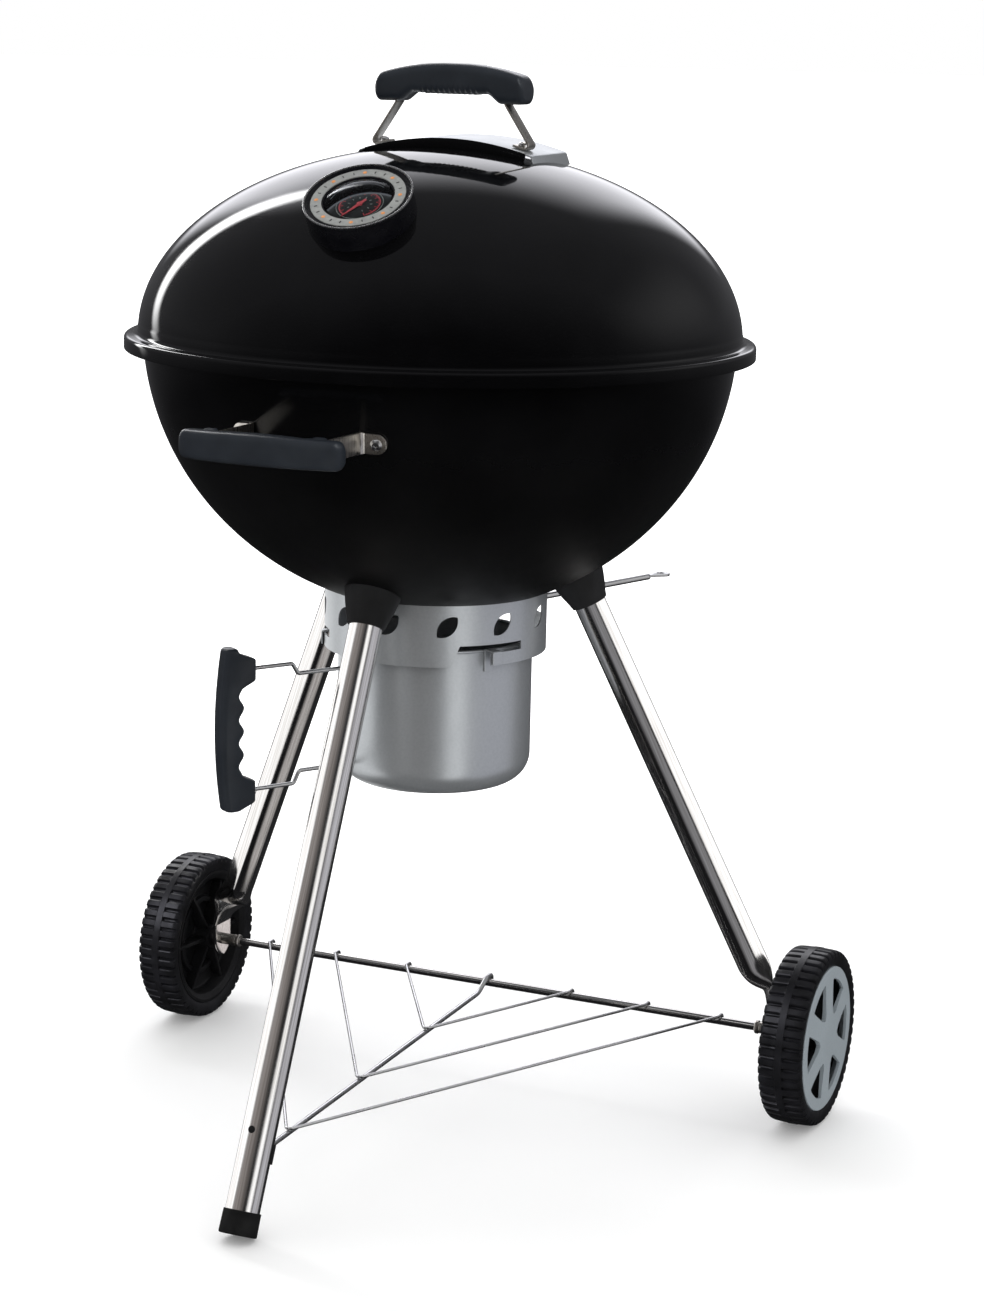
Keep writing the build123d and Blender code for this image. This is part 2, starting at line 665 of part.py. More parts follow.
for name, side in SIDES:
    top, end = leg_ends[name]
    leg_down = (end - top).normalized()
    leg_top = on_axis(top, end, LEG_TOP_Z)
    round_end = end - leg_down * 14
    tongue_mid = Vector(side * (TONGUE_X + TONGUE_T / 2), AXLE_Y, WHEEL_R)
    tongue_top = Vector(tongue_mid.X, tongue_mid.Y, WHEEL_R + 19)
    across = leg_down.cross(Vector(0, 1, 0)).cross(leg_down)
    with BuildPart() as rear_leg:
        with BuildSketch(Plane(origin=round_end, x_dir=across, z_dir=leg_down)):
            Circle(TUBE_R)
        with BuildSketch(Plane(origin=tongue_top, x_dir=(0, 1, 0), z_dir=(0, 0, -1))):
            Ellipse(TONGUE_R, TONGUE_T / 2)
        loft()
        with BuildSketch(Plane(origin=leg_top, z_dir=leg_down)):
            Circle(TUBE_R)
        extrude(amount=(round_end - leg_top).length)
        with BuildSketch(Plane(origin=leg_top, z_dir=leg_down)):
            Circle(TUBE_R - TUBE_WALL)
        extrude(amount=(round_end - leg_top).length, mode=Mode.SUBTRACT)
        with BuildSketch(Plane.YZ.offset(side * TONGUE_X)):
            with Locations((AXLE_Y, WHEEL_R)):
                Circle(TONGUE_R)
            with Locations((AXLE_Y, WHEEL_R + 10)):
                Rectangle(2 * TONGUE_R, 20)
        extrude(amount=side * TONGUE_T)
        with BuildSketch(Plane.YZ.offset(side * (TONGUE_X - 10))):
            with Locations((AXLE_Y, WHEEL_R)):
                Circle(AXLE_R)
        extrude(amount=side * 24, mode=Mode.SUBTRACT)
    save(rear_leg, f"{name}_leg")

# ---------------------------------------------------------------- axle
AXLE_END = 366.0
SLEEVE_R = 6.0

with BuildPart() as axle:
    with BuildSketch(Plane.YZ):
        with Locations((AXLE_Y, WHEEL_R)):
            Circle(AXLE_R)
    extrude(amount=AXLE_END, both=True)
    chamfer(axle.faces().filter_by(Plane.YZ).edges(), 0.8)
save(axle, "axle")


def rings(start, length, outer_r):
    """A pair of rings round the axle, from start outwards on both sides."""
    with BuildPart() as pair:
        for side in (-1, 1):
            with BuildSketch(Plane.YZ.offset(side * start)):
                with Locations((AXLE_Y, WHEEL_R)):
                    Circle(outer_r)
                    Circle(AXLE_R, mode=Mode.SUBTRACT)
            extrude(amount=side * length)
    return pair


axle_sleeves = rings(TONGUE_X - 16, 16, SLEEVE_R)
save(axle_sleeves, "axle_sleeves")

axle_washers = rings(TONGUE_X + TONGUE_T, WHEEL_IN - TONGUE_X - TONGUE_T - GAP, 8)
save(axle_washers, "axle_washers")

axle_caps = rings(AXLE_END - 3.2, 2.4, 8)
save(axle_caps, "axle_caps")

# ---------------------------------------------------------------- wheels
TYRE_IN_R = 72.6         # the tyre sits on the wheel's band
BAND_R = 72.4
BAND_T = 3.2
HUB_R = 13.0
HUB_OUT = AXLE_END - 3.2 - GAP
STAR_R = 72.2
STAR_BACK = WHEEL_OUT - 6.0
STAR_T = 3.6
SPOKES = 6
axle_line = Axis((0, AXLE_Y, WHEEL_R), (1, 0, 0))

with BuildSketch() as star_window:
    with BuildLine():
        rim = CenterArc((0, 0), STAR_R - 12, -21, 42)
        Polyline(rim @ 0, (27, 0), rim @ 1)
    make_face()
    fillet(star_window.vertices(), 3)

for name, side in SIDES:
    wheel_section = Plane(origin=(0, AXLE_Y, WHEEL_R), x_dir=(side, 0, 0), z_dir=(0, -side, 0))
    with BuildPart() as tyre:
        with BuildSketch(wheel_section):
            with BuildLine():
                crown = ThreePointArc((WHEEL_IN + 6, WHEEL_R - 1), ((WHEEL_IN + WHEEL_OUT) / 2, WHEEL_R),
                                      (WHEEL_OUT - 6, WHEEL_R - 1))
                Polyline(crown @ 1, (WHEEL_OUT - 1.5, WHEEL_R - 5), (WHEEL_OUT - 2, TYRE_IN_R + 3),
                         (WHEEL_OUT - 3, TYRE_IN_R), (WHEEL_IN + 2, TYRE_IN_R), (WHEEL_IN, TYRE_IN_R + 3),
                         (WHEEL_IN + 0.5, WHEEL_R - 5), crown @ 0)
            make_face()
        revolve(axis=axle_line)
    save(tyre, f"{name}_tyre")

    with BuildPart() as wheel:
        with BuildSketch(wheel_section):
            with BuildLine():
                Polyline(
                    (WHEEL_IN, AXLE_R + RUNNING),
                    (HUB_OUT, AXLE_R + RUNNING),
                    (HUB_OUT, HUB_R),
                    (WHEEL_IN + 24, HUB_R + 2),
                    (WHEEL_IN + 20, BAND_R - BAND_T),
                    (STAR_BACK - 0.2, BAND_R - BAND_T),
                    (STAR_BACK - 0.2, BAND_R),
                    (WHEEL_IN + 2, BAND_R),
                    (WHEEL_IN + 2, BAND_R - BAND_T),
                    (WHEEL_IN + 17, BAND_R - BAND_T),
                    (WHEEL_IN + 21, HUB_R),
                    (WHEEL_IN, HUB_R),
                    close=True,
                )
            make_face()
        revolve(axis=axle_line)
        with BuildSketch(Plane.YZ.offset(side * (WHEEL_IN + 8))):
            with Locations((AXLE_Y, WHEEL_R)):
                with PolarLocations((HUB_R + BAND_R - BAND_T) / 2, SPOKES):
                    Rectangle(BAND_R - BAND_T - HUB_R + 1, 4)
                Circle(44)
                Circle(40, mode=Mode.SUBTRACT)
        extrude(amount=side * 13)
    save(wheel, f"{name}_wheel")

    with BuildPart() as hubcap:
        with BuildSketch(Plane.YZ.offset(side * STAR_BACK)):
            with Locations((AXLE_Y, WHEEL_R)):
                Circle(STAR_R)
                with PolarLocations(0, SPOKES):
                    add(star_window.sketch, mode=Mode.SUBTRACT)
        extrude(amount=side * STAR_T)
        boss_x = STAR_BACK + STAR_T
        with Locations(Location((side * boss_x, AXLE_Y, WHEEL_R), (0, side * 90, 0))):
            Cone(26, 14, WHEEL_OUT - boss_x, align=(Align.CENTER, Align.CENTER, Align.MIN))
    save(hubcap, f"{name}_hubcap")

# ---------------------------------------------------------------- wire rack between the legs
V_WIRE_R = 1.5
RACK_REAR_Z = 84.0       # height of the centre wire just before it rises over the axle
RACK_REAR_Y = KETTLE_Y + 118
RACK_FRONT_Y = KETTLE_Y - 345
V_WIRES = {              # how far each wire's bend and its two hooks are from the kettle's axis
    "short": (-296, 257.5),
    "middle": (-155, 178.0),
    "long": (-10, 93.5),
}


def hook_over_axle(x, wire_radius):
    """Points of a wire that lies on the axle and turns down behind it."""
    top = WHEEL_R + AXLE_R + wire_radius
    back = AXLE_Y + AXLE_R + wire_radius + 1
    return [Vector(x, AXLE_Y - 4, top), Vector(x, back, top), Vector(x, back, top - 10)]


def wire_height(y):
    """Height of the rack's centre wire at y."""
    return RACK_FRONT_Z + (RACK_REAR_Z - RACK_FRONT_Z) * (y - RACK_FRONT_Y) / (RACK_REAR_Y - RACK_FRONT_Y)


with BuildPart() as rack_centre_wire:
    with BuildLine():
        route = FilletPolyline(
            Vector(0, RACK_FRONT_Y, RACK_FRONT_Z),
            Vector(0, RACK_REAR_Y, RACK_REAR_Z),
            *hook_over_axle(0, CENTRE_WIRE_R),
            radius=4,
        )
    with BuildSketch(Plane(origin=route @ 0, z_dir=route % 0)):
        Circle(CENTRE_WIRE_R)
    sweep(path=route)
save(rack_centre_wire, "rack_centre_wire")

for name, (bend, hook_x) in V_WIRES.items():
    bend_y = KETTLE_Y + bend
    bend_z = wire_height(bend_y) + CENTRE_WIRE_R + V_WIRE_R
    right = hook_over_axle(hook_x, V_WIRE_R)
    left = hook_over_axle(-hook_x, V_WIRE_R)
    with BuildPart() as v_wire:
        with BuildLine():
            route = FilletPolyline(*reversed(left), Vector(0, bend_y, bend_z), *right, radius=3)
        with BuildSketch(Plane(origin=route @ 0, z_dir=route % 0)):
            Circle(V_WIRE_R)
        sweep(path=route)
    save(v_wire, f"rack_{name}_wire")

with BuildPart() as rack_clip:
    clip_point = on_axis(FRONT_TOP, FRONT_FOOT, RACK_FRONT_Z + 8)
    with BuildSketch(Plane(origin=clip_point, x_dir=(1, 0, 0), z_dir=leg_up)):
        Circle(TUBE_R + 1.6)
        Circle(TUBE_R, mode=Mode.SUBTRACT)
        with Locations((0, -30)):
            Rectangle(60, 50, mode=Mode.SUBTRACT)
    extrude(amount=9, both=True)
    add(rack_centre_wire.part, mode=Mode.SUBTRACT)
save(rack_clip, "rack_clip")

# ---------------------------------------------------------------- ash collar
LEAF_R = 15.6            # each vent is the lens between two arcs of this radius
LEAF_SHIFT = 7.85 / sqrt(2)
FIRST_VENT = 1.5
VENT_STEP = 30.0
LEVER_SWING = (-15.0, 45.0)
LEVER_SLOT_Z = (502.0, 519.0)
SLOT_TOP = 494.8         # bayonet slots: the pot's hooks slide along the lip below them
LIP_TOP = 486.6
SLOT_SPAN = 35.2         # half the slot's width, across the middle of the slot
SLOT_MIDDLE = 55.7
LIP_START = -1.5         # the lip runs from here to the slot's closed end

lever_slot_from = LEVER_AZIMUTH + LEVER_SWING[0] - 4
lever_slot_to = LEVER_AZIMUTH + LEVER_SWING[1] + 4

with BuildPart() as ash_collar:
    with BuildSketch(level(COLLAR_BOTTOM)):
        Circle(COLLAR_R)
        Circle(COLLAR_R - COLLAR_WALL, mode=Mode.SUBTRACT)
    extrude(amount=70)
    add(bowl_outside, mode=Mode.SUBTRACT)
    for number in range(12):
        azimuth = FIRST_VENT + VENT_STEP * number
        if lever_slot_from - 5 < azimuth < lever_slot_to + 5:
            continue
        with BuildSketch(tangent(azimuth).offset(POT_R)):
            with Locations((-LEAF_SHIFT, VENT_Z + LEAF_SHIFT)):
                Circle(LEAF_R)
            with Locations((LEAF_SHIFT, VENT_Z - LEAF_SHIFT)):
                Circle(LEAF_R, mode=Mode.INTERSECT)
        extrude(amount=30, mode=Mode.SUBTRACT)
    for hook_azimuth in HOOK_AZIMUTHS:
        middle = hook_azimuth + SLOT_MIDDLE - HOOK_AZIMUTHS[0]
        with BuildSketch(tangent(middle).offset(60)):
            with BuildLine():
                Polyline(
                    (-SLOT_SPAN - 7, COLLAR_BOTTOM - 5),
                    (-SLOT_SPAN - 5.5, COLLAR_BOTTOM),
                    (-SLOT_SPAN + 2.5, SLOT_TOP),
                    (SLOT_SPAN, SLOT_TOP),
                    (SLOT_SPAN, LIP_TOP),
                    (LIP_START, LIP_TOP),
                    (LIP_START, COLLAR_BOTTOM - 5),
                    close=True,
                )
            make_face()
        extrude(amount=60, mode=Mode.SUBTRACT)
    with BuildSketch(level(LEVER_SLOT_Z[0])):
        with BuildLine():
            start = 270 + lever_slot_from
            rim = CenterArc((0, 0), 130, start, lever_slot_to - lever_slot_from)
            Polyline(rim @ 0, (0, 0), rim @ 1)
        make_face()
    extrude(amount=LEVER_SLOT_Z[1] - LEVER_SLOT_Z[0], mode=Mode.SUBTRACT)
save(ash_collar, "ash_collar")

# ---------------------------------------------------------------- ash pot, its hooks and its handle
POT_CORNER = 27.0
BEAD_R = 1.6
HOOK_T = 1.5
HOOK_WIDTH = 10.0
HOOK_OUT = COLLAR_R + 3.0

with BuildPart() as ash_pot:
    with BuildSketch(radial(0)):
        with BuildLine():
            Line((0, POT_BOTTOM), (POT_R - POT_CORNER, POT_BOTTOM))
            RadiusArc((POT_R - POT_CORNER, POT_BOTTOM), (POT_R, POT_BOTTOM + POT_CORNER), -POT_CORNER)
            Line((POT_R, POT_BOTTOM + POT_CORNER), (POT_R, POT_TOP))
            Line((POT_R, POT_TOP), (POT_R - POT_WALL, POT_TOP))
            Line((POT_R - POT_WALL, POT_TOP), (POT_R - POT_WALL, POT_BOTTOM + POT_CORNER))
            RadiusArc((POT_R - POT_WALL, POT_BOTTOM + POT_CORNER),
                      (POT_R - POT_CORNER, POT_BOTTOM + POT_WALL), POT_CORNER - POT_WALL)
            Line((POT_R - POT_CORNER, POT_BOTTOM + POT_WALL), (0, POT_BOTTOM + POT_WALL))
            Line((0, POT_BOTTOM + POT_WALL), (0, POT_BOTTOM))
        make_face()
    revolve(axis=AXIS)
    with Locations((0, KETTLE_Y, POT_TOP)):
        Torus(POT_R - BEAD_R, BEAD_R)
save(ash_pot, "ash_pot")

with BuildPart() as pot_hooks:
    for hook_azimuth in HOOK_AZIMUTHS:
        hook_top = LIP_TOP + GAP + HOOK_T
        with BuildSketch(radial(hook_azimuth)):
            with BuildLine():
                Polyline(
                    (POT_R, LIP_TOP - 20),
                    (POT_R + HOOK_T, LIP_TOP - 20),
                    (POT_R + HOOK_T, hook_top - HOOK_T),
                    (HOOK_OUT - HOOK_T, hook_top - HOOK_T),
                    (HOOK_OUT - HOOK_T, COLLAR_BOTTOM + 0.5),
                    (HOOK_OUT, COLLAR_BOTTOM + 0.5),
                    (HOOK_OUT, hook_top),
                    (POT_R, hook_top),
                    close=True,
                )
            make_face()
        extrude(amount=HOOK_WIDTH / 2, both=True)
save(pot_hooks, "pot_hooks")

POT_WIRE_R = 2.0
POT_WIRE_IN = POT_R + POT_WIRE_R + 0.1
POT_WIRE_OUT = 225.0

with BuildPart() as pot_handle_wire:
    with BuildLine(radial(POT_HANDLE_AZIMUTH)):
        route = FilletPolyline(
            (POT_WIRE_IN, 462), (155, 462), (161, 472), (POT_WIRE_OUT, 472),
            (POT_WIRE_OUT, 355), (159, 355), (153, 367), (POT_WIRE_IN, 367),
            radius=4, close=True,
        )
    with BuildSketch(Plane(origin=route @ 0, z_dir=route % 0)):
        Circle(POT_WIRE_R)
    sweep(path=route)
save(pot_handle_wire, "pot_handle_wire")

with BuildPart() as pot_handle_grip:
    with BuildSketch(radial(POT_HANDLE_AZIMUTH)) as outline:
        with BuildLine():
            bow = ThreePointArc((234, 494), (244, 415), (234, 337))
            Polyline(bow @ 1, (214, 337), (203, 345), (203, 364), (212, 374), (212, 454),
                     (203, 462), (203, 482), (216, 494), bow @ 0)
        make_face()
        fillet(outline.vertices(), 3)
    extrude(amount=13, both=True)
    fillet(pot_handle_grip.edges().group_by(Axis((0, KETTLE_Y, 0), outward(POT_HANDLE_AZIMUTH)))[-1], 5)
    add(pot_handle_wire.part, mode=Mode.SUBTRACT)
save(pot_handle_grip, "pot_handle_grip")

# ---------------------------------------------------------------- damper: blades, shaft and lever
BLADE_T = 1.2
BLADE_R = 100.0
BLADE_SHUT = 45.0        # the blades cover the vents when the lever has turned this far
HUB_PLATE_Z = 504.5
LEVER_R = 3.2
LEVER_EYE_R = 286.0
blade_floor = BOWL_H - SHEET - GAP

with BuildPart() as damper_blades:
    add(egg(BOWL_BASE, BOWL_R - SHEET - GAP, blade_floor))
    add(egg(BOWL_BASE, BOWL_R - SHEET - GAP - BLADE_T, blade_floor - BLADE_T), mode=Mode.SUBTRACT)
    with BuildSketch(level(500)):
        with PolarLocations(VENT_MID_R - 6, 3, start_angle=-BLADE_SHUT):
            SlotOverall(2 * (BLADE_R - VENT_MID_R + 6), VENT_WIDTH + 10)
        Circle(24)
        Circle(SHAFT_R, mode=Mode.SUBTRACT)
    extrude(amount=60, mode=Mode.INTERSECT)
save(damper_blades, "damper_blades")

with BuildPart() as damper_shaft:
    blade_top = BOWL_BASE - blade_floor + BLADE_T
    with BuildSketch(level(HUB_PLATE_Z)):
        Circle(SHAFT_R)
    extrude(amount=blade_top + 3 - HUB_PLATE_Z)
    with BuildSketch(level(blade_top + 0.1)):
        RegularPolygon(8, 6)
    extrude(amount=5)
save(damper_shaft, "damper_shaft")

with BuildPart() as damper_lever:
    with BuildLine(radial(LEVER_AZIMUTH)):
        route = FilletPolyline((10, HUB_PLATE_Z + 1), (60, HUB_PLATE_Z + 1), (LEVER_EYE_R - 22, 518),
                               radius=30)
    with BuildSketch(Plane(origin=route @ 0, z_dir=route % 0)):
        Circle(LEVER_R)
    sweep(path=route)
    with BuildSketch(level(HUB_PLATE_Z - 2.5)):
        Circle(14)
        Circle(SHAFT_R, mode=Mode.SUBTRACT)
    extrude(amount=6)
    tip = radial(LEVER_AZIMUTH)
    with BuildSketch(tip):
        with Locations((LEVER_EYE_R - 12, 518.8)):
            Rectangle(28, 3)
    extrude(amount=9, both=True)
    with BuildSketch(level(500)):
        with Locations(outward(LEVER_AZIMUTH) * (LEVER_EYE_R - 8)):
            Circle(4)
    extrude(amount=40, mode=Mode.SUBTRACT)
save(damper_lever, "damper_lever")
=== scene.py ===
import json
from math import asin, atan2, cos, degrees, pi, radians, sin, sqrt, tan, tau

import bmesh
import bpy
from mathutils import Matrix, Quaternion, Vector

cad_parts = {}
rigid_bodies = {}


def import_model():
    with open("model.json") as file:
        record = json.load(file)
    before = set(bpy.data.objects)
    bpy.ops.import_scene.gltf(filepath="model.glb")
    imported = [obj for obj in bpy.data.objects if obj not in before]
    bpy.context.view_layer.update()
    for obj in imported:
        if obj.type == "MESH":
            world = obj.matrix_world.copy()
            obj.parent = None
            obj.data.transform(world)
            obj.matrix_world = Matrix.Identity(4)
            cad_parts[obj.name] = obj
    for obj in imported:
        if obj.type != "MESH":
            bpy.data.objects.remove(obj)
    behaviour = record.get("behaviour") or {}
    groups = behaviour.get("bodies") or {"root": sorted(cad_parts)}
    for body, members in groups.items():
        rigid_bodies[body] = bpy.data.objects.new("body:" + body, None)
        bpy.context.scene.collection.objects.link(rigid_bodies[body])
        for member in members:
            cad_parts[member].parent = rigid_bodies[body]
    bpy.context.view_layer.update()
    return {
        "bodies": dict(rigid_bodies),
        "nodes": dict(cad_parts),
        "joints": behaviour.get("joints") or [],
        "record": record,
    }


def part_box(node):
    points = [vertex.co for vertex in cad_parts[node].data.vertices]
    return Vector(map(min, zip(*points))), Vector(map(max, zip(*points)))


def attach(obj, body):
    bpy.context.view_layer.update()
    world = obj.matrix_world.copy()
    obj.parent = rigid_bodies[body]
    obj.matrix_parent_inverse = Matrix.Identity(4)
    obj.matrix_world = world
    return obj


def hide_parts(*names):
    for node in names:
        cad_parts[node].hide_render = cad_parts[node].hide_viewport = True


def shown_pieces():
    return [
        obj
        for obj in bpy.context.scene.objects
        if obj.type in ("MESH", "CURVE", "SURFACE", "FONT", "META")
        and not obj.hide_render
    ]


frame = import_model()

# A kettle charcoal grill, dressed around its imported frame. Metres, +Z up, the front is -Y.
# An azimuth is measured round the kettle's axis, from the front (-Y) towards the right (+X).

BODY_OF = {node: body for body, nodes in frame["record"]["behaviour"]["bodies"].items() for node in nodes}
UP = Vector((0, 0, 1))
RIGHT = Vector((1, 0, 0))
BACK = Vector((0, 1, 0))
SIDES = (("left", -1), ("right", 1))
MERGE = 1e-7             # points nearer to each other than this are one point


def middle(node):
    """The middle of a CAD node's box."""
    low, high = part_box(node)
    return (low + high) / 2


# --- places read from the frame
lid_low, lid_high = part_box("lid")
bowl_low, bowl_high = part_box("bowl")
KETTLE = Vector((middle("lid").x, middle("lid").y, 0))
RIM_R = (lid_high.x - lid_low.x) / 2
SHEET = 0.0015                       # enamelled steel of lid and bowl
LID_BASE = lid_low.z + 0.0133        # the dome is half an ellipse standing on the rim
LID_R = RIM_R - 0.013
LID_H = lid_high.z - LID_BASE
BOWL_R = RIM_R - 0.0175
BOWL_BASE = lid_low.z + 0.0203       # the bowl is most of half an ellipse hanging from here
BOWL_H = BOWL_BASE - bowl_low.z
AXLE = middle("axle")
AXLE_R = (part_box("axle")[1].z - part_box("axle")[0].z) / 2


# --- frames and outlines
def outward(azimuth):
    """Horizontal unit vector pointing away from the kettle's axis."""
    return Vector((sin(radians(azimuth)), -cos(radians(azimuth)), 0))


def placed(origin, x_axis, z_axis):
    """The frame with this origin and z axis, its x axis as near to x_axis as that allows."""
    z_axis = z_axis.normalized()
    x_axis = (x_axis - z_axis * x_axis.dot(z_axis)).normalized()
    y_axis = z_axis.cross(x_axis)
    turn = Matrix((x_axis, y_axis, z_axis)).transposed()
    return Matrix.Translation(origin) @ turn.to_4x4()


def radial(azimuth):
    """Frame whose x is the radius at azimuth, whose y is the height and whose z runs round."""
    return placed(KETTLE, outward(azimuth), outward(azimuth).cross(UP))


def spun(frame, share):
    """A frame turned round its own z axis by a share of a full turn."""
    return frame @ Matrix.Rotation(tau * share, 4, "Z")


def dome_seat(radius, azimuth, lift=0.0):
    """Frame that lies on the outside of the lid, its z pointing out of it."""
    height = LID_H * sqrt(1 - (radius / LID_R) ** 2)
    out = outward(azimuth)
    normal = (out * (radius / LID_R**2) + UP * (height / LID_H**2)).normalized()
    return placed(KETTLE + out * radius + UP * (LID_BASE + height) + normal * lift, UP.cross(out), normal)


def rounded(corners, steps=6, closed=True):
    """Points of an outline or a path whose corners, each (point, radius), are arcs."""
    points = []
    count = len(corners)
    for index, (corner, radius) in enumerate(corners):
        corner = Vector(corner)
        if radius == 0 or (not closed and index in (0, count - 1)):
            points.append(corner)
            continue
        before = Vector(corners[index - 1][0]) - corner
        after = Vector(corners[(index + 1) % count][0]) - corner
        half = before.angle(after) / 2
        reach = min(radius / tan(half), before.length * 0.49, after.length * 0.49)
        start, end = before.normalized() * reach, after.normalized() * reach
        centre = (start + end) / (2 * cos(half) ** 2)
        arm, last = start - centre, end - centre
        turn = arm.angle(last)
        for step in range(steps + 1):
            share = step / steps
            swung = (arm * sin((1 - share) * turn) + last * sin(share * turn)) / sin(turn)
            points.append(corner + centre + swung)
    return points


def box_outline(low_x, high_x, low_y, high_y, radius, steps=6):
    """A rectangle with round corners."""
    corners = ((low_x, low_y), (high_x, low_y), (high_x, high_y), (low_x, high_y))
    return rounded([(corner, radius) for corner in corners], steps)


def round_section(radius, sides=24):
    """A circle as a section or an outline."""
    return [(radius * cos(tau * side / sides), radius * sin(tau * side / sides)) for side in range(sides)]


def smooth_step(value, low, high):
    """0 below low, 1 above high, and a smooth curve between."""
    share = min(1.0, max(0.0, (value - low) / (high - low)))
    return share * share * (3 - 2 * share)


# --- mesh building
def skin(bm, rings, closed=False):
    """Join rings of points into a tube with capped ends, or into a closed ring."""
    loops = [[bm.verts.new(point) for point in ring] for ring in rings]
    pairs = list(zip(loops, loops[1:]))
    if closed:
        pairs.append((loops[-1], loops[0]))
    for low, high in pairs:
        for index in range(len(low)):
            after = (index + 1) % len(low)
            bm.faces.new((low[index], low[after], high[after], high[index]))
    if not closed:
        bm.faces.new(reversed(loops[0]))
        bm.faces.new(loops[-1])


def lathe(bm, outline, place, steps=96):
    """Spin an outline of (radius, height) points round the z axis of place."""
    angles = [tau * step / steps for step in range(steps)]
    on_axis = outline[0][0] == 0 and outline[-1][0] == 0
    rings = [[place @ Vector((r * cos(a), r * sin(a), z)) for a in angles] for r, z in outline]
    skin(bm, rings, closed=not on_axis)
    bmesh.ops.remove_doubles(bm, verts=bm.verts, dist=MERGE)


def lathed(outline, place, steps=96):
    """A new mesh of one spun outline."""
    bm = bmesh.new()
    lathe(bm, outline, place, steps)
    return bm


def carry(bm, path, sections, sides=None, closed=False):
    """Carry a section, or one section for each point, along a path.

    sides is the direction that the section's first coordinate keeps, or one for each point.
    Without it the section is carried without twist.
    """
    count = len(path)
    rings = []
    across = None
    for index, point in enumerate(path):
        ahead = path[(index + 1) % count] if closed or index < count - 1 else point
        behind = path[index - 1] if closed or index > 0 else point
        along = (ahead - behind).normalized()
        if isinstance(sides, list):
            across = sides[index]
        elif sides is not None:
            across = sides
        elif across is None:
            across = along.orthogonal()
        across = (across - along * across.dot(along)).normalized()
        up = along.cross(across)
        section = sections[index] if isinstance(sections[0], list) else sections
        rings.append([point + across * a + up * b for a, b in section])
    skin(bm, rings, closed)


def rod(bm, path, radius, sides=24, closed=False, side=None):
    """A round rod along a path."""
    carry(bm, path, round_section(radius, sides), side, closed)


def bar(bm, place, start, end, limits, corner, end_round, pitch=0.0015):
    """A moulded bar along place's x axis; limits(x) gives its low and high y and low and high z."""
    arc = [pi / 2 * step / 8 for step in range(9)]
    stations = [(start + end_round * (1 - cos(a)), end_round * (1 - sin(a))) for a in arc]
    straight = end - start - 2 * end_round
    count = int(straight / pitch)
    for step in range(1, count):
        stations.append((start + end_round + straight * step / count, 0))
    stations += [(end - end_round * (1 - cos(a)), end_round * (1 - sin(a))) for a in reversed(arc)]
    rings = []
    for x, inset in stations:
        low_y, high_y, low_z, high_z = limits(x)
        low_y, high_y, low_z, high_z = low_y + inset, high_y - inset, low_z + inset, high_z - inset
        radius = min(corner, (high_y - low_y) * 0.49, (high_z - low_z) * 0.49)
        outline = box_outline(low_y, high_y, low_z, high_z, radius)
        rings.append([place @ Vector((x, y, z)) for y, z in outline])
    skin(bm, rings)


def plate(bm, outlines, thickness, edge, place):
    """Add a plate, half on each side of place's xy plane: its first outline less the others.

    edge is the radius of its edges. A plate without thickness is a single sheet.
    """
    curve = bpy.data.curves.new("plate", "CURVE")
    curve.dimensions = "2D"
    curve.fill_mode = "BOTH"
    curve.extrude = max(0.0, thickness / 2 - edge)
    curve.bevel_depth = edge
    curve.bevel_resolution = 2
    curve.offset = -edge
    for outline in outlines:
        spline = curve.splines.new("POLY")
        spline.points.add(len(outline) - 1)
        for point, (x, y) in zip(spline.points, outline):
            point.co = (x, y, 0, 1)
        spline.use_cyclic_u = True
    holder = bpy.data.objects.new("plate", curve)
    mesh = bpy.data.meshes.new_from_object(holder)
    bpy.data.objects.remove(holder)
    bpy.data.curves.remove(curve)
    mesh.transform(place)
    bm.from_mesh(mesh)
    bpy.data.meshes.remove(mesh)
    bmesh.ops.remove_doubles(bm, verts=bm.verts, dist=MERGE)


def carve(bm, cutter):
    """The solid bm less the cutter, worked out once by a boolean modifier."""
    objects = []
    for part in (bm, cutter):
        bmesh.ops.recalc_face_normals(part, faces=part.faces)
        mesh = bpy.data.meshes.new("carve")
        part.to_mesh(mesh)
        part.free()
        objects.append(bpy.data.objects.new("carve", mesh))
        bpy.context.scene.collection.objects.link(objects[-1])
    modifier = objects[0].modifiers.new("cut", "BOOLEAN")
    modifier.object = objects[1]
    modifier.solver = "EXACT"
    graph = bpy.context.evaluated_depsgraph_get()
    result = bmesh.new()
    result.from_object(objects[0], graph)
    for holder in objects:
        bpy.data.objects.remove(holder)
    return result


def shaded(name, bm, material, sharp):
    """An object of bm in one material, smooth but for edges sharper than an angle in degrees."""
    bmesh.ops.recalc_face_normals(bm, faces=bm.faces)
    mesh = bpy.data.meshes.new(name)
    bm.to_mesh(mesh)
    bm.free()
    mesh.shade_smooth()
    mesh.set_sharp_from_angle(angle=radians(sharp))
    piece = bpy.data.objects.new(name, mesh)
    bpy.context.scene.collection.objects.link(piece)
    mesh.materials.append(material)
    return piece


def finished(name, bm, slot, *nodes, sharp=35, bevel=0.0, material=None):
    """A new piece in the finish of a material slot, riding with and standing for CAD nodes."""
    piece = shaded(name, bm, material or FINISHES[slot], sharp)
    if bevel:
        modifier = piece.modifiers.new("edges", "BEVEL")
        modifier.width = bevel
        modifier.segments = 2
        modifier.limit_method = "ANGLE"
        modifier.angle_limit = radians(sharp)
        modifier.harden_normals = True
    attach(piece, BODY_OF[nodes[0]])
    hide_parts(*nodes)


def extra(name, bm, slot, body, material=None):
    """A small piece of detail that stands for no CAD node of its own."""
    piece = shaded(name, bm, material or FINISHES[slot], 35)
    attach(piece, body)


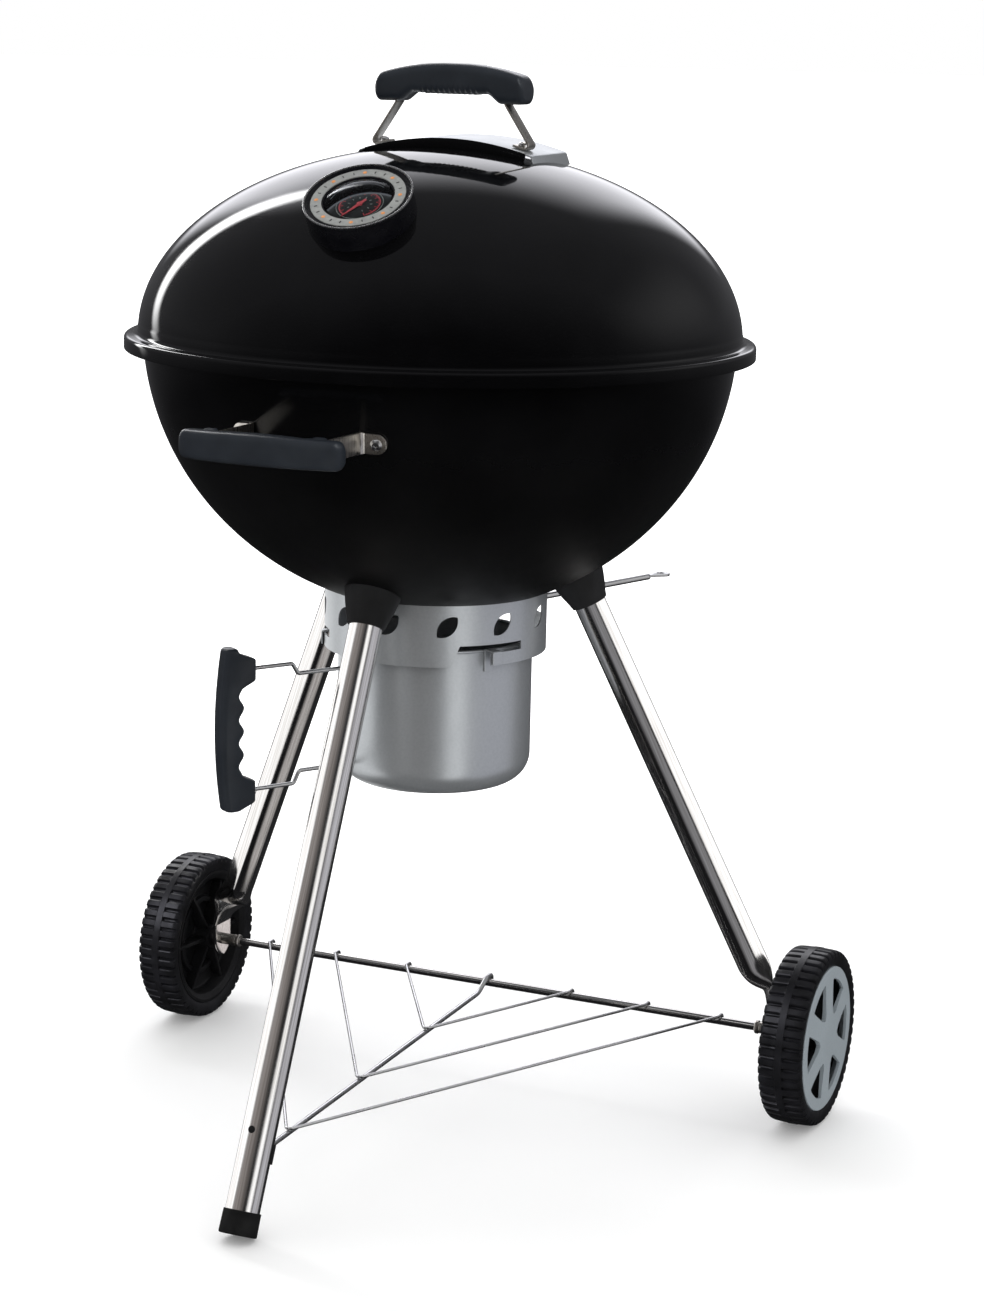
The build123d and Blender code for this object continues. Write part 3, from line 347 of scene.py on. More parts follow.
# --- material nodes
def node(tree, kind, operation=None, **inputs):
    """Add a node; inputs are values or sockets, by the input's name or, as i0, by its number."""
    made = tree.nodes.new("ShaderNode" + kind)
    if operation:
        made.operation = operation
    for key, value in inputs.items():
        numbered = key[0] == "i" and key[1:].isdigit()
        socket = made.inputs[int(key[1:])] if numbered else made.inputs[key.replace("_", " ")]
        if isinstance(value, bpy.types.NodeSocket):
            tree.links.new(value, socket)
        else:
            socket.default_value = value
    return made


def place_in(tree, along=None, stretch=1.0):
    """Object coordinates, drawn out along a direction so that a pattern runs that way."""
    coordinates = tree.nodes.new("ShaderNodeTexCoord").outputs["Object"]
    if along is None:
        return coordinates
    dot = node(tree, "VectorMath", "DOT_PRODUCT", i0=coordinates, i1=tuple(along))
    share = node(tree, "Math", "MULTIPLY", i0=dot.outputs["Value"], i1=1 - 1 / stretch)
    scaled = node(tree, "VectorMath", "SCALE", i0=tuple(along), i3=share.outputs[0])
    return node(tree, "VectorMath", "SUBTRACT", i0=coordinates, i1=scaled.outputs[0]).outputs[0]


def noise(tree, where, scale, detail=3.0):
    """Grey noise at a place, scale being features in a metre."""
    return node(tree, "TexNoise", Vector=where, Scale=scale, Detail=detail).outputs["Fac"]


def spread(tree, value, low, high, to_low=0.0, to_high=1.0):
    """Map the range low to high of a value onto to_low to to_high."""
    made = node(tree, "MapRange", Value=value, From_Min=low, From_Max=high, To_Min=to_low, To_Max=to_high)
    return made.outputs[0]


def blend(tree, share, first, second):
    """A colour between two colours."""
    mix = tree.nodes.new("ShaderNodeMix")
    mix.data_type = "RGBA"
    tree.links.new(share, mix.inputs["Factor"])
    for socket, colour in ((mix.inputs[6], first), (mix.inputs[7], second)):
        if isinstance(colour, bpy.types.NodeSocket):
            tree.links.new(colour, socket)
        else:
            socket.default_value = (*colour, 1)
    return mix.outputs[2]


def relief(tree, height, distance, below=None):
    """A normal raised by a height pattern, distance metres from its black to its white."""
    made = node(tree, "Bump", Height=height, Distance=distance, Strength=1.0)
    if below is not None:
        tree.links.new(below, made.inputs["Normal"])
    return made.outputs[0]


def finish(name, metallic=0.0, **constants):
    """A new material: its tree and its shader, with the values that are the same all over."""
    material = bpy.data.materials.new(name)
    material.use_nodes = True
    shader = material.node_tree.nodes["Principled BSDF"]
    shader.inputs["Metallic"].default_value = metallic
    for key, value in constants.items():
        shader.inputs[key.replace("_", " ")].default_value = value
    return material, material.node_tree, shader


def mottled(name, dark, light, rough, colour_scale=30.0, rough_scale=60.0, bumps=(), metallic=0.0,
            along=None, stretch=1.0, **constants):
    """A finish whose colour and roughness wander, with layers of relief, each (scale, distance)."""
    material, tree, shader = finish(name, metallic, **constants)
    where = place_in(tree, along, stretch)
    patches = spread(tree, noise(tree, where, colour_scale), 0.3, 0.7)
    tree.links.new(blend(tree, patches, dark, light), shader.inputs["Base Color"])
    wear = noise(tree, where, rough_scale, 4.0)
    tree.links.new(spread(tree, wear, 0.3, 0.7, *rough), shader.inputs["Roughness"])
    normal = None
    for scale, distance in bumps:
        normal = relief(tree, noise(tree, where, scale, 2.0), distance, normal)
    if normal is not None:
        tree.links.new(normal, shader.inputs["Normal"])
    return material


def enamel():
    """Porcelain enamel: a deep gloss with the faint orange peel of a fired coat."""
    material, tree, shader = finish("black_enamel", IOR=1.52)
    where = place_in(tree)
    specks = spread(tree, noise(tree, where, 900, 2.0), 0.62, 0.8)
    clouds = spread(tree, noise(tree, where, 9), 0.35, 0.65)
    base = blend(tree, clouds, (0.0018, 0.0018, 0.0021), (0.0036, 0.0036, 0.004))
    tree.links.new(blend(tree, specks, base, (0.008, 0.008, 0.009)), shader.inputs["Base Color"])
    fired = spread(tree, noise(tree, where, 45, 4.0), 0.3, 0.7, 0.035, 0.075)
    height = node(tree, "SeparateXYZ", Vector=where).outputs["Z"]
    dulled = spread(tree, height, 0.775, 0.60, 0.0, 0.45)      # the bowl is duller lower down
    tree.links.new(node(tree, "Math", i0=fired, i1=dulled).outputs[0], shader.inputs["Roughness"])
    peel = relief(tree, noise(tree, where, 260, 2.0), 0.000012)
    tree.links.new(relief(tree, noise(tree, where, 14, 1.0), 0.00025, peel), shader.inputs["Normal"])
    return material


def tube_steel(name, along):
    """Polished stainless tube with fine lines drawn along it."""
    material, tree, shader = finish(name, 1.0, Specular_IOR_Level=0.5)
    lines = noise(tree, place_in(tree, along, 60), 700, 4.0)
    hazy = noise(tree, place_in(tree, along, 4), 55, 3.0)
    tint = blend(tree, spread(tree, lines, 0.35, 0.65), (0.63, 0.61, 0.59), (0.80, 0.79, 0.78))
    tree.links.new(tint, shader.inputs["Base Color"])
    tree.links.new(spread(tree, hazy, 0.3, 0.7, 0.10, 0.19), shader.inputs["Roughness"])
    tree.links.new(relief(tree, lines, 0.000006), shader.inputs["Normal"])
    return material


def glass():
    """Clear domed glass: seen through, with a reflection that grows at the edges."""
    material = bpy.data.materials.new("gauge_glass")
    material.use_nodes = True
    tree = material.node_tree
    tree.nodes.remove(tree.nodes["Principled BSDF"])
    smear = spread(tree, noise(tree, place_in(tree), 120), 0.3, 0.7, 0.01, 0.05)
    gloss = node(tree, "BsdfGlossy", Color=(0.95, 0.97, 1, 1), Roughness=smear)
    clear = node(tree, "BsdfTransparent", Color=(0.93, 0.95, 0.95, 1))
    edge = node(tree, "Fresnel", IOR=1.22)
    mix = node(tree, "MixShader", Fac=edge.outputs[0], i1=clear.outputs[0], i2=gloss.outputs[0])
    tree.links.new(mix.outputs[0], tree.nodes["Material Output"].inputs["Surface"])
    return material


leg_lines = {name: (middle(f"{name}_leg_socket") - middle(f"{name}_leg")).normalized()
             for name in ("front", "left", "right")}
# dark and light colour, roughness range, scales of colour and of wear, layers of relief, metallic
MOTTLED = {
    "socket_black": ((0.013, 0.013, 0.014), (0.021, 0.021, 0.023), (0.5, 0.62), 30, 60,
                     ((900, 0.00006), (60, 0.0002))),
    "steel_wire": ((0.66, 0.66, 0.67), (0.80, 0.80, 0.81), (0.22, 0.34), 14, 30, ((500, 0.000002),), 1.0),
    "strap_steel": ((0.46, 0.43, 0.39), (0.62, 0.60, 0.56), (0.24, 0.4), 900, 1200, ((1500, 0.00001),),
                    1.0, UP, 25),
    "silver_paint": ((0.41, 0.43, 0.445), (0.45, 0.47, 0.485), (0.32, 0.38), 420, 30,
                     ((1400, 0.000001),), 0.72),
    "rubber_black": ((0.006, 0.006, 0.006), (0.012, 0.012, 0.012), (0.5, 0.7), 80, 160,
                     ((1100, 0.00005),)),
    "tyre": ((0.006, 0.006, 0.007), (0.013, 0.013, 0.016), (0.28, 0.42), 60, 140, ((1000, 0.00004),)),
    "wheel_black": ((0.006, 0.006, 0.007), (0.011, 0.011, 0.012), (0.3, 0.42), 40, 90,
                    ((900, 0.00004),)),
    "hubcap_silver": ((0.44, 0.50, 0.54), (0.50, 0.56, 0.60), (0.30, 0.40), 600, 40,
                      ((1300, 0.000003),), 0.35),
    "gauge_black": ((0.004, 0.004, 0.006), (0.009, 0.009, 0.011), (0.2, 0.3), 40, 120,
                    ((700, 0.000004),)),
    "gauge_ring": ((0.62, 0.62, 0.62), (0.76, 0.76, 0.75), (0.2, 0.34), 300, 500, ((1500, 0.000003),), 1.0),
    "scale_grey": ((0.36, 0.37, 0.36), (0.45, 0.46, 0.44), (0.35, 0.5), 260, 300, ((1200, 0.00001),), 0.3),
    "dial_black": ((0.011, 0.012, 0.013), (0.020, 0.021, 0.022), (0.4, 0.5), 90, 200,
                   ((1500, 0.00001),)),
    "pointer_red": ((0.52, 0.045, 0.06), (0.66, 0.09, 0.11), (0.35, 0.5), 300, 200, ((1500, 0.00001),)),
}
FINISHES = {"black_enamel": enamel(), "gauge_glass": glass()}
FINISHES.update((name, mottled(name, *row)) for name, row in MOTTLED.items())
FINISHES["grip_plastic"] = mottled("grip_plastic", (0.016, 0.020, 0.027), (0.024, 0.029, 0.037), (0.30, 0.40),
                                   25, 90, ((1800, 0.00004),), Coat_Weight=0.12, Coat_Roughness=0.25)
LEG_STEEL = {name: tube_steel(f"{name}_leg_steel", line) for name, line in leg_lines.items()}
FINISHES["polished_steel"] = tube_steel("polished_steel", RIGHT)
ORANGE_DOT = mottled("orange_dot", (0.72, 0.26, 0.07), (0.85, 0.36, 0.12), (0.4, 0.5), 400, 300,
                     ((1500, 0.00001),))


# --- kettle: lid, bowl and grates
def vent_holes(seat, depth):
    """A cutter for the vent's four holes, reaching as far below its seat as above it."""
    bm = bmesh.new()
    for number in range(4):
        place = spun(seat, number / 4) @ Matrix.Translation((VENT_HOLE_RING, 0, -depth / 2))
        lathe(bm, [(0, 0), (VENT_HOLE_R, 0), (VENT_HOLE_R, depth), (0, depth)], place, 32)
    return bm


def kettle_lid():
    """The dome, its flange and its rolled skirt, with the four holes of the vent."""
    skirt = LID_BASE - lid_low.z
    top = LID_BASE - 0.0003
    arc = [radians(90 - 87 * step / 90) for step in range(91)]
    outside = [(LID_R * cos(a), LID_BASE + LID_H * sin(a)) for a in arc]
    outside[0] = (0, LID_BASE + LID_H)
    inside = [((LID_R - SHEET) * cos(a), LID_BASE + (LID_H - SHEET) * sin(a)) for a in reversed(arc)]
    inside[-1] = (0, LID_BASE + LID_H - SHEET)
    inner = RIM_R - SHEET
    rim = rounded([
        ((LID_R, LID_BASE + 0.008), 0), ((LID_R, top), 0.0045), ((RIM_R, top), 0.0035),
        ((RIM_R, top - skirt), 0.0006), ((inner, top - skirt), 0.0006), ((inner, top - SHEET), 0.002),
        ((LID_R - SHEET, top - SHEET), 0.003), ((LID_R - SHEET, LID_BASE + 0.008), 0),
    ], closed=False)
    shell = lathed(outside + rim + inside, Matrix.Translation(KETTLE), 288)
    holes = vent_holes(dome_seat(VENT_R, 180), 0.024)
    finished("lid_shell", carve(shell, holes), "black_enamel", "lid", sharp=40)


def kettle_bowl():
    """The bowl with its rolled lip, and three slots in its bottom for air and ash."""
    lip = bowl_high.z
    lip_r = (bowl_high.x - bowl_low.x) / 2
    arc = [radians(3 + 87 * step / 100) for step in range(101)]
    outside = [(BOWL_R * cos(a), BOWL_BASE - BOWL_H * sin(a)) for a in arc]
    inside = [((BOWL_R - SHEET) * cos(a), BOWL_BASE - (BOWL_H - SHEET) * sin(a)) for a in reversed(arc)]
    outside[-1] = (0, bowl_low.z)
    inside[0] = (0, bowl_low.z + SHEET)
    under = lip - SHEET
    lip_edge = rounded([
        ((BOWL_R - SHEET, lip), 0.001), ((lip_r, lip), 0.0015), ((lip_r, lip - 0.0072), 0.0005),
        ((lip_r - SHEET, lip - 0.0072), 0.0005), ((lip_r - SHEET, under), 0.001), ((BOWL_R, under), 0.002),
        ((BOWL_R, under - 0.003), 0),
    ], closed=False)
    below = [point for point in outside if point[1] < under - 0.004]
    within = [point for point in inside if point[1] < lip - 0.002]
    shell = lathed(below + within + lip_edge, Matrix.Translation(KETTLE), 288)
    slots = bmesh.new()
    for number in range(3):
        place = spun(Matrix.Translation(KETTLE + UP * ASH_SLOT_Z), number / 3)
        plate(slots, [box_outline(0.034, 0.086, -0.012, 0.012, 0.0119)], 0.05, 0, place)
    finished("bowl_shell", carve(shell, slots), "black_enamel", "bowl", sharp=40)


def round_grate(name, node_name, wire, ring_wire, pitch):
    """A wire grate: ring, two cross bars and parallel bars laid on them."""
    low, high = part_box(node_name)
    ring_r = (high.x - low.x) / 2 - ring_wire
    ring_z = low.z + ring_wire
    bar_z = high.z - wire
    bm = bmesh.new()
    circle = [KETTLE + outward(3 * step) * ring_r + UP * ring_z for step in range(120)]
    rod(bm, circle, ring_wire, 12, closed=True, side=UP)
    for x in (-ring_r / 2, ring_r / 2):
        reach = Vector((0, sqrt(ring_r**2 - x**2), 0))
        centre = KETTLE + Vector((x, 0, ring_z))
        rod(bm, [centre - reach, centre + reach], ring_wire, 12)
    rows = int((ring_r - pitch / 2) / pitch)
    for row in range(-rows, rows + 1):
        reach = Vector((sqrt(ring_r**2 - (row * pitch) ** 2), 0, 0))
        centre = KETTLE + Vector((0, row * pitch, bar_z))
        rod(bm, [centre - reach, centre + reach], wire, 10)
    finished(name, bm, "steel_wire", node_name)


ASH_SLOT_Z = 0.505       # a height at the bottom of the bowl, where its slots are cut
VENT_R = 0.190           # the lid's vent, at the back of the dome
VENT_HOLE_RING = 0.031
VENT_HOLE_R = 0.010
kettle_lid()
kettle_bowl()
round_grate("cooking_grid", "cooking_grate", 0.0022, 0.003, 0.017)
round_grate("charcoal_grid", "charcoal_grate", 0.0032, 0.0032, 0.021)


# --- gauge on the lid
GAUGE_LIFT = 0.0194      # the gauge's face stands this far off the dome
GAUGE_R = 0.050
GAUGE_OUT = 0.2033       # its distance from the lid's axis
RING_IN = 0.033          # pale ring between these radii
RING_OUT = 0.043
DIAL_R = 0.030
DIAL_DEPTH = 0.0100
SCALE_ARC_R = 0.0185
SCALE_START = radians(-118.4)   # the scale runs clockwise from here
SCALE_TURN = radians(300)
RING_DOTS = 8            # dots on the pale ring, with two ticks between each pair
RING_START = radians(100)
gauge_centre = middle("gauge_bezel") - KETTLE
gauge = dome_seat(GAUGE_OUT, degrees(atan2(gauge_centre.x, -gauge_centre.y)), GAUGE_LIFT)


def gauge_arc(bm, radius, width, height, thickness=0.0003, start=0.0, turn=tau, steps=96):
    """A thin flat band on the gauge, round from start by turn clockwise."""
    closed = turn == tau
    angles = [start - turn * step / steps for step in range(steps if closed else steps + 1)]
    path = [gauge @ Vector((radius * cos(angle), radius * sin(angle), height)) for angle in angles]
    outline = [(-thickness / 2, -width / 2), (thickness / 2, -width / 2), (thickness / 2, width / 2),
               (-thickness / 2, width / 2)]
    carry(bm, path, outline, gauge.to_3x3() @ UP, closed)


def gauge_marks(bm, count, inner, outer, width, height, start, turn, skip=None):
    """Radial marks on the gauge, without each one whose number skip divides."""
    for number in range(count):
        if skip and number % skip == 0:
            continue
        angle = start - turn * number / (count - 1 if turn < tau else count)
        place = spun(gauge, angle / tau) @ Matrix.Translation((0, 0, height))
        plate(bm, [box_outline(inner, outer, -width / 2, width / 2, width * 0.3, 2)], 0.0003, 0, place)


def lid_gauge():
    """Case, rings, dial, glass and needle."""
    shoulder = [((0.0, -0.030), 0), ((GAUGE_R - 0.0012, -0.030), 0.001), ((GAUGE_R - 0.0006, -0.004), 0.002),
                ((GAUGE_R - 0.0002, -0.0006), 0.0006), ((GAUGE_R - 0.0035, -0.0006), 0.0004),
                ((GAUGE_R - 0.0045, -0.0022), 0.0005), ((DIAL_R + 0.0018, -0.0026), 0.0008),
                ((DIAL_R, -0.0060), 0.0008), ((DIAL_R, -DIAL_DEPTH), 0), ((0.0, -DIAL_DEPTH), 0)]
    finished("gauge_body", lathed(rounded(shoulder, closed=False), gauge, 128), "gauge_black",
             "gauge_case", "gauge_stem")
    edge = box_outline(GAUGE_R - 0.0022, GAUGE_R - 0.0004, -0.0012, 0.0006, 0.0006)
    finished("gauge_rim", lathed(edge, gauge, 128), "gauge_ring", "gauge_bezel")
    ring = box_outline(RING_IN, RING_OUT, -0.0024, -0.0012, 0.0003)
    finished("gauge_scale", lathed(ring, gauge, 128), "scale_grey", "gauge_scale_ring")
    bm = bmesh.new()
    gauge_marks(bm, 3 * RING_DOTS, 0.0365, 0.0395, 0.0009, -0.0011, RING_START, tau, skip=3)
    extra("gauge_scale_ticks", bm, "dial_black", "lid")
    bm = bmesh.new()
    for number in range(RING_DOTS):
        place = spun(gauge, RING_START / tau - number / RING_DOTS)
        place = place @ Matrix.Translation(((RING_IN + RING_OUT) / 2, 0, -0.0012))
        lathe(bm, [(0, 0), (0.0019, 0), (0.0016, 0.0003), (0, 0.0003)], place, 20)
    extra("gauge_scale_dots", bm, "scale_grey", "lid", ORANGE_DOT)
    disc = [(0, -DIAL_DEPTH), (DIAL_R - 0.0003, -DIAL_DEPTH), (DIAL_R - 0.0003, -DIAL_DEPTH + 0.0008),
            (0, -DIAL_DEPTH + 0.0008)]
    finished("gauge_dial_plate", lathed(disc, gauge), "dial_black", "gauge_dial")
    face = -DIAL_DEPTH + 0.001
    bm = bmesh.new()
    gauge_arc(bm, SCALE_ARC_R, 0.0009, face, start=SCALE_START, turn=SCALE_TURN)
    gauge_marks(bm, 13, 0.0148, 0.0182, 0.0007, face, SCALE_START, SCALE_TURN)
    gauge_marks(bm, 37, 0.0168, 0.0182, 0.0004, face, SCALE_START, SCALE_TURN)
    extra("gauge_red_scale", bm, "pointer_red", "lid")
    bm = bmesh.new()
    gauge_arc(bm, 0.0212, 0.0006, face)
    gauge_marks(bm, 10, 0.0095, 0.0115, 0.0006, face, SCALE_START, SCALE_TURN)
    extra("gauge_grey_scale", bm, "scale_grey", "lid")
    curve = [radians(90 - 24 * step / 16) for step in range(17)]
    ball = DIAL_R / cos(curve[-1])
    sink = ball * sin(curve[-1]) + 0.0022
    outer = [(ball * cos(a), ball * sin(a) - sink) for a in curve]
    inner = [((ball - 0.0015) * cos(a), (ball - 0.0015) * sin(a) - sink) for a in reversed(curve)]
    outer[0], inner[-1] = (0, outer[0][1]), (0, inner[-1][1])
    finished("gauge_window", lathed(outer + inner, gauge), "gauge_glass", "gauge_glass")
    bm = bmesh.new()
    needle = spun(gauge, SCALE_START / tau) @ Matrix.Translation((0, 0, face + 0.0009))
    blade = rounded([((-0.008, -0.0013), 0.0006), ((0.002, -0.0016), 0.001), ((0.0225, -0.0004), 0.0002),
                     ((0.0225, 0.0004), 0.0002), ((0.002, 0.0016), 0.001), ((-0.008, 0.0013), 0.0006)])
    plate(bm, [blade], 0.0006, 0.0001, needle)
    boss = [(0, -0.0005), (0.0028, -0.0005), (0.0026, 0.0006), (0.0012, 0.0013), (0, 0.0014)]
    lathe(bm, boss, needle, 32)
    finished("gauge_needle", bm, "pointer_red", "gauge_pointer")


lid_gauge()


# --- vent on the lid
def lid_vent():
    """The turning disc with its four holes and thumb tab, and the rivet it turns on."""
    seat = dome_seat(VENT_R, 180)
    ball = 0.395
    radius, thickness = 0.055, 0.0012
    under = [(radius * step / 24, 0.0006 - (radius * step / 24) ** 2 / (2 * ball)) for step in range(25)]
    over = [(r, z + thickness) for r, z in reversed(under)]
    bm = carve(lathed(under + over, seat, 128), vent_holes(seat, 0.012))
    turn = seat.to_3x3()
    tab = placed(seat @ Vector((radius - 0.004, 0, 0.005)), turn @ BACK, turn @ RIGHT)
    plate(bm, [box_outline(-0.008, 0.008, -0.0075, 0.009, 0.004)], 0.0014, 0.0003, tab)
    finished("lid_vent_plate", bm, "silver_paint", "lid_vent_disc", bevel=0.0002)
    head = rounded([((0, -0.005), 0), ((0.008, -0.005), 0.001), ((0.008, -0.0028), 0.0004),
                    ((0.0035, -0.0028), 0), ((0.0035, 0.0018), 0), ((0.009, 0.0018), 0.0005),
                    ((0.009, 0.0026), 0.001), ((0.005, 0.0044), 0.003), ((0, 0.0045), 0)], closed=False)
    finished("lid_vent_pin", lathed(head, seat, 48), "strap_steel", "lid_vent_rivet")


lid_vent()


# --- lid handle and heat shield
grip_low, grip_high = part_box("lid_handle_grip")
shield_low, shield_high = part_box("heat_shield")
HANDLE = Vector(((grip_low.x + grip_high.x) / 2, KETTLE.y, 0))
SHIELD_R = 0.300         # radius of the shield's arch
SHIELD_T = 0.0012
# half the width of the black front lip, which is also painted shade for the gap under the shield
SHIELD_SHADE_LIP_X = 0.083
SHIELD_LEAN = radians(-1.2)      # it dips a little to the front
SHIELD_X = (shield_high.x - shield_low.x) / 2 - 0.004
SHIELD_DEPTH = 0.082
shield_front = Vector((0, -cos(SHIELD_LEAN), sin(SHIELD_LEAN)))
shield = placed(Vector((HANDLE.x, shield_low.y, shield_high.z)) + shield_front * SHIELD_DEPTH
                - Vector((0, (shield_front * SHIELD_DEPTH).y, 0)), RIGHT, shield_front)


def arch(x):
    """How far the shield's upper face falls at a distance x from its middle."""
    return SHIELD_R - sqrt(SHIELD_R**2 - x**2)


def shield_z(x):
    """Height of the shield's upper face under the handle."""
    back = HANDLE.y - shield.translation.y
    return shield.translation.z - back * sin(SHIELD_LEAN) - arch(x)


def above_lid(point):
    """Whether a point is outside the lid's dome."""
    offset = point - KETTLE
    return (offset.x**2 + offset.y**2) / LID_R**2 + ((offset.z - LID_BASE) / LID_H) ** 2 > 1


def heat_shield():
    """An arched plate with feet at its ends, and along its front a black lip carried down to meet the lid,
    which is also painted shade for the gap under the shield.
    """
    front = shield.to_3x3() @ UP
    rim = arch(SHIELD_X)
    foot = Vector((SHIELD_X + 0.004, -rim - 0.0115, 0))
    inner = [(-SHIELD_X + 0.006 + (2 * SHIELD_X - 0.012) * step / 40) for step in range(41)]
    corners = [((inner[-1], -arch(inner[-1]), 0), 0), ((SHIELD_X, -rim, 0), 0.004), (foot, 0)]
    right = rounded(corners, closed=False)[1:]
    left = [Vector((-point.x, point.y, point.z)) for point in reversed(right)]
    path = left + [Vector((x, -arch(x), 0)) for x in inner] + right
    section = rounded([((0, 0), 0.0005), ((-SHIELD_DEPTH, 0), 0.0005), ((-SHIELD_DEPTH, SHIELD_T), 0.0005),
                       ((0, SHIELD_T), 0.0005)], 3)
    bm = bmesh.new()
    carry(bm, [shield @ point for point in path], section, front)
    finished("heat_shield_plate", bm, "silver_paint", "heat_shield")
    bm = bmesh.new()
    # the front lip: a black sheet reaching down to the lid, painted shade for the gap beneath the shield's
    # front edge
    band_x = [-SHIELD_SHADE_LIP_X + SHIELD_SHADE_LIP_X * step / 20 for step in range(41)]
    band = [shield @ Vector((x, -arch(x), 0)) for x in band_x]
    shade_lips = []
    for point in band:
        depth = 0.0
        while above_lid(point - UP * depth) and depth < 0.016:
            depth += 0.0002
        shade_lips.append(rounded([((0.0004, -0.0003), 0.0005), ((-SHIELD_T, -0.0003), 0.0005),
                             ((-SHIELD_T, depth), 0.0003), ((0.0004, depth), 0.0003)], 3))
    carry(bm, band, shade_lips, front)
    extra("heat_shield_lip", bm, "black_enamel", "lid")


def lid_straps():
    """Two bent steel straps from the heat shield up into the grip, with their bolts."""
    top_x, foot_x = 0.056, 0.085
    bend_z = 0.994
    top_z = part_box("lid_handle_straps")[1].z
    foot_z = shield_z(foot_x) + 0.0006
    section = box_outline(-0.008, 0.008, -0.0011, 0.0011, 0.0005, 3)
    bm = bmesh.new()
    for side in (-1, 1):
        corners = [((side * (foot_x - 0.020), 0, foot_z + 0.0065), 0),
                   ((side * foot_x, 0, foot_z + 0.001), 0.0035), ((side * top_x, 0, bend_z), 0.006),
                   ((side * top_x, 0, top_z), 0)]
        path = [HANDLE + Vector(point) for point in rounded(corners, 8, closed=False)]
        carry(bm, path, section, BACK)
    finished("lid_strap_pair", bm, "strap_steel", "lid_handle_straps")
    bm = bmesh.new()
    for side in (-1, 1):
        place = Matrix.Translation(HANDLE + Vector((side * 0.072, 0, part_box("lid_handle_bolts")[1].z)))
        head = rounded([((0, -0.0215), 0), ((0.0025, -0.0215), 0), ((0.0025, -0.0032), 0),
                        ((0.0046, -0.0032), 0.0004), ((0.0046, -0.0014), 0.001), ((0.0024, 0), 0.0015),
                        ((0.0012, -0.0002), 0.0003), ((0.0008, -0.0012), 0), ((0, -0.0012), 0)], closed=False)
        lathe(bm, head, place, 32)
    finished("lid_bolt_pair", bm, "steel_wire", "lid_handle_bolts")


def lid_grip():
    """The moulded grip: a crowned bar with drooping ends and ribs for the fingers."""
    reach = (grip_high.x - grip_low.x) / 2
    half = (grip_high.y - grip_low.y) / 2

    def limits(x):
        share = abs(x) / reach
        crown = grip_high.z - 0.0105 * share**2.4
        under = grip_low.z + 0.0085 * (1 - smooth_step(abs(x), 0.038, 0.053))
        ribs = 0.0009 * sin(tau * (x / 0.0055 + 0.25)) * (1 - smooth_step(abs(x), 0.026, 0.033))
        waist = 0.0012 * (1 - smooth_step(share, 0.6, 0.95))
        return -half + waist, half - waist, under + ribs, crown

    bm = bmesh.new()
    bar(bm, Matrix.Translation(HANDLE), -reach, reach, limits, 0.0085, 0.005, 0.0006)
    mid = (grip_low.z + grip_high.z) / 2
    for vertex in bm.verts:
        vertex.co.x = HANDLE.x + (vertex.co.x - HANDLE.x) * (1 - 2.2 * max(0.0, vertex.co.z - mid + 0.004))
    finished("lid_grip_moulding", bm, "grip_plastic", "lid_handle_grip", sharp=50)


heat_shield()
lid_straps()
lid_grip()


# --- bowl handles
SCREW_ANGLE = 14.1
STRAP_X = 0.053


def bowl_surface(azimuth, z, lift=0.0):
    """A point on the bowl's outside, the direction that runs up along it there, and its normal."""
    drop = (BOWL_BASE - z) / BOWL_H
    radius = BOWL_R * sqrt(1 - drop**2)
    out = outward(azimuth)
    normal = (out * (radius / BOWL_R**2) - UP * (drop / BOWL_H)).normalized()
    rise = UP.cross(out).cross(normal).normalized()
    return KETTLE + out * radius + UP * z + normal * lift, rise if rise.z > 0 else -rise, normal


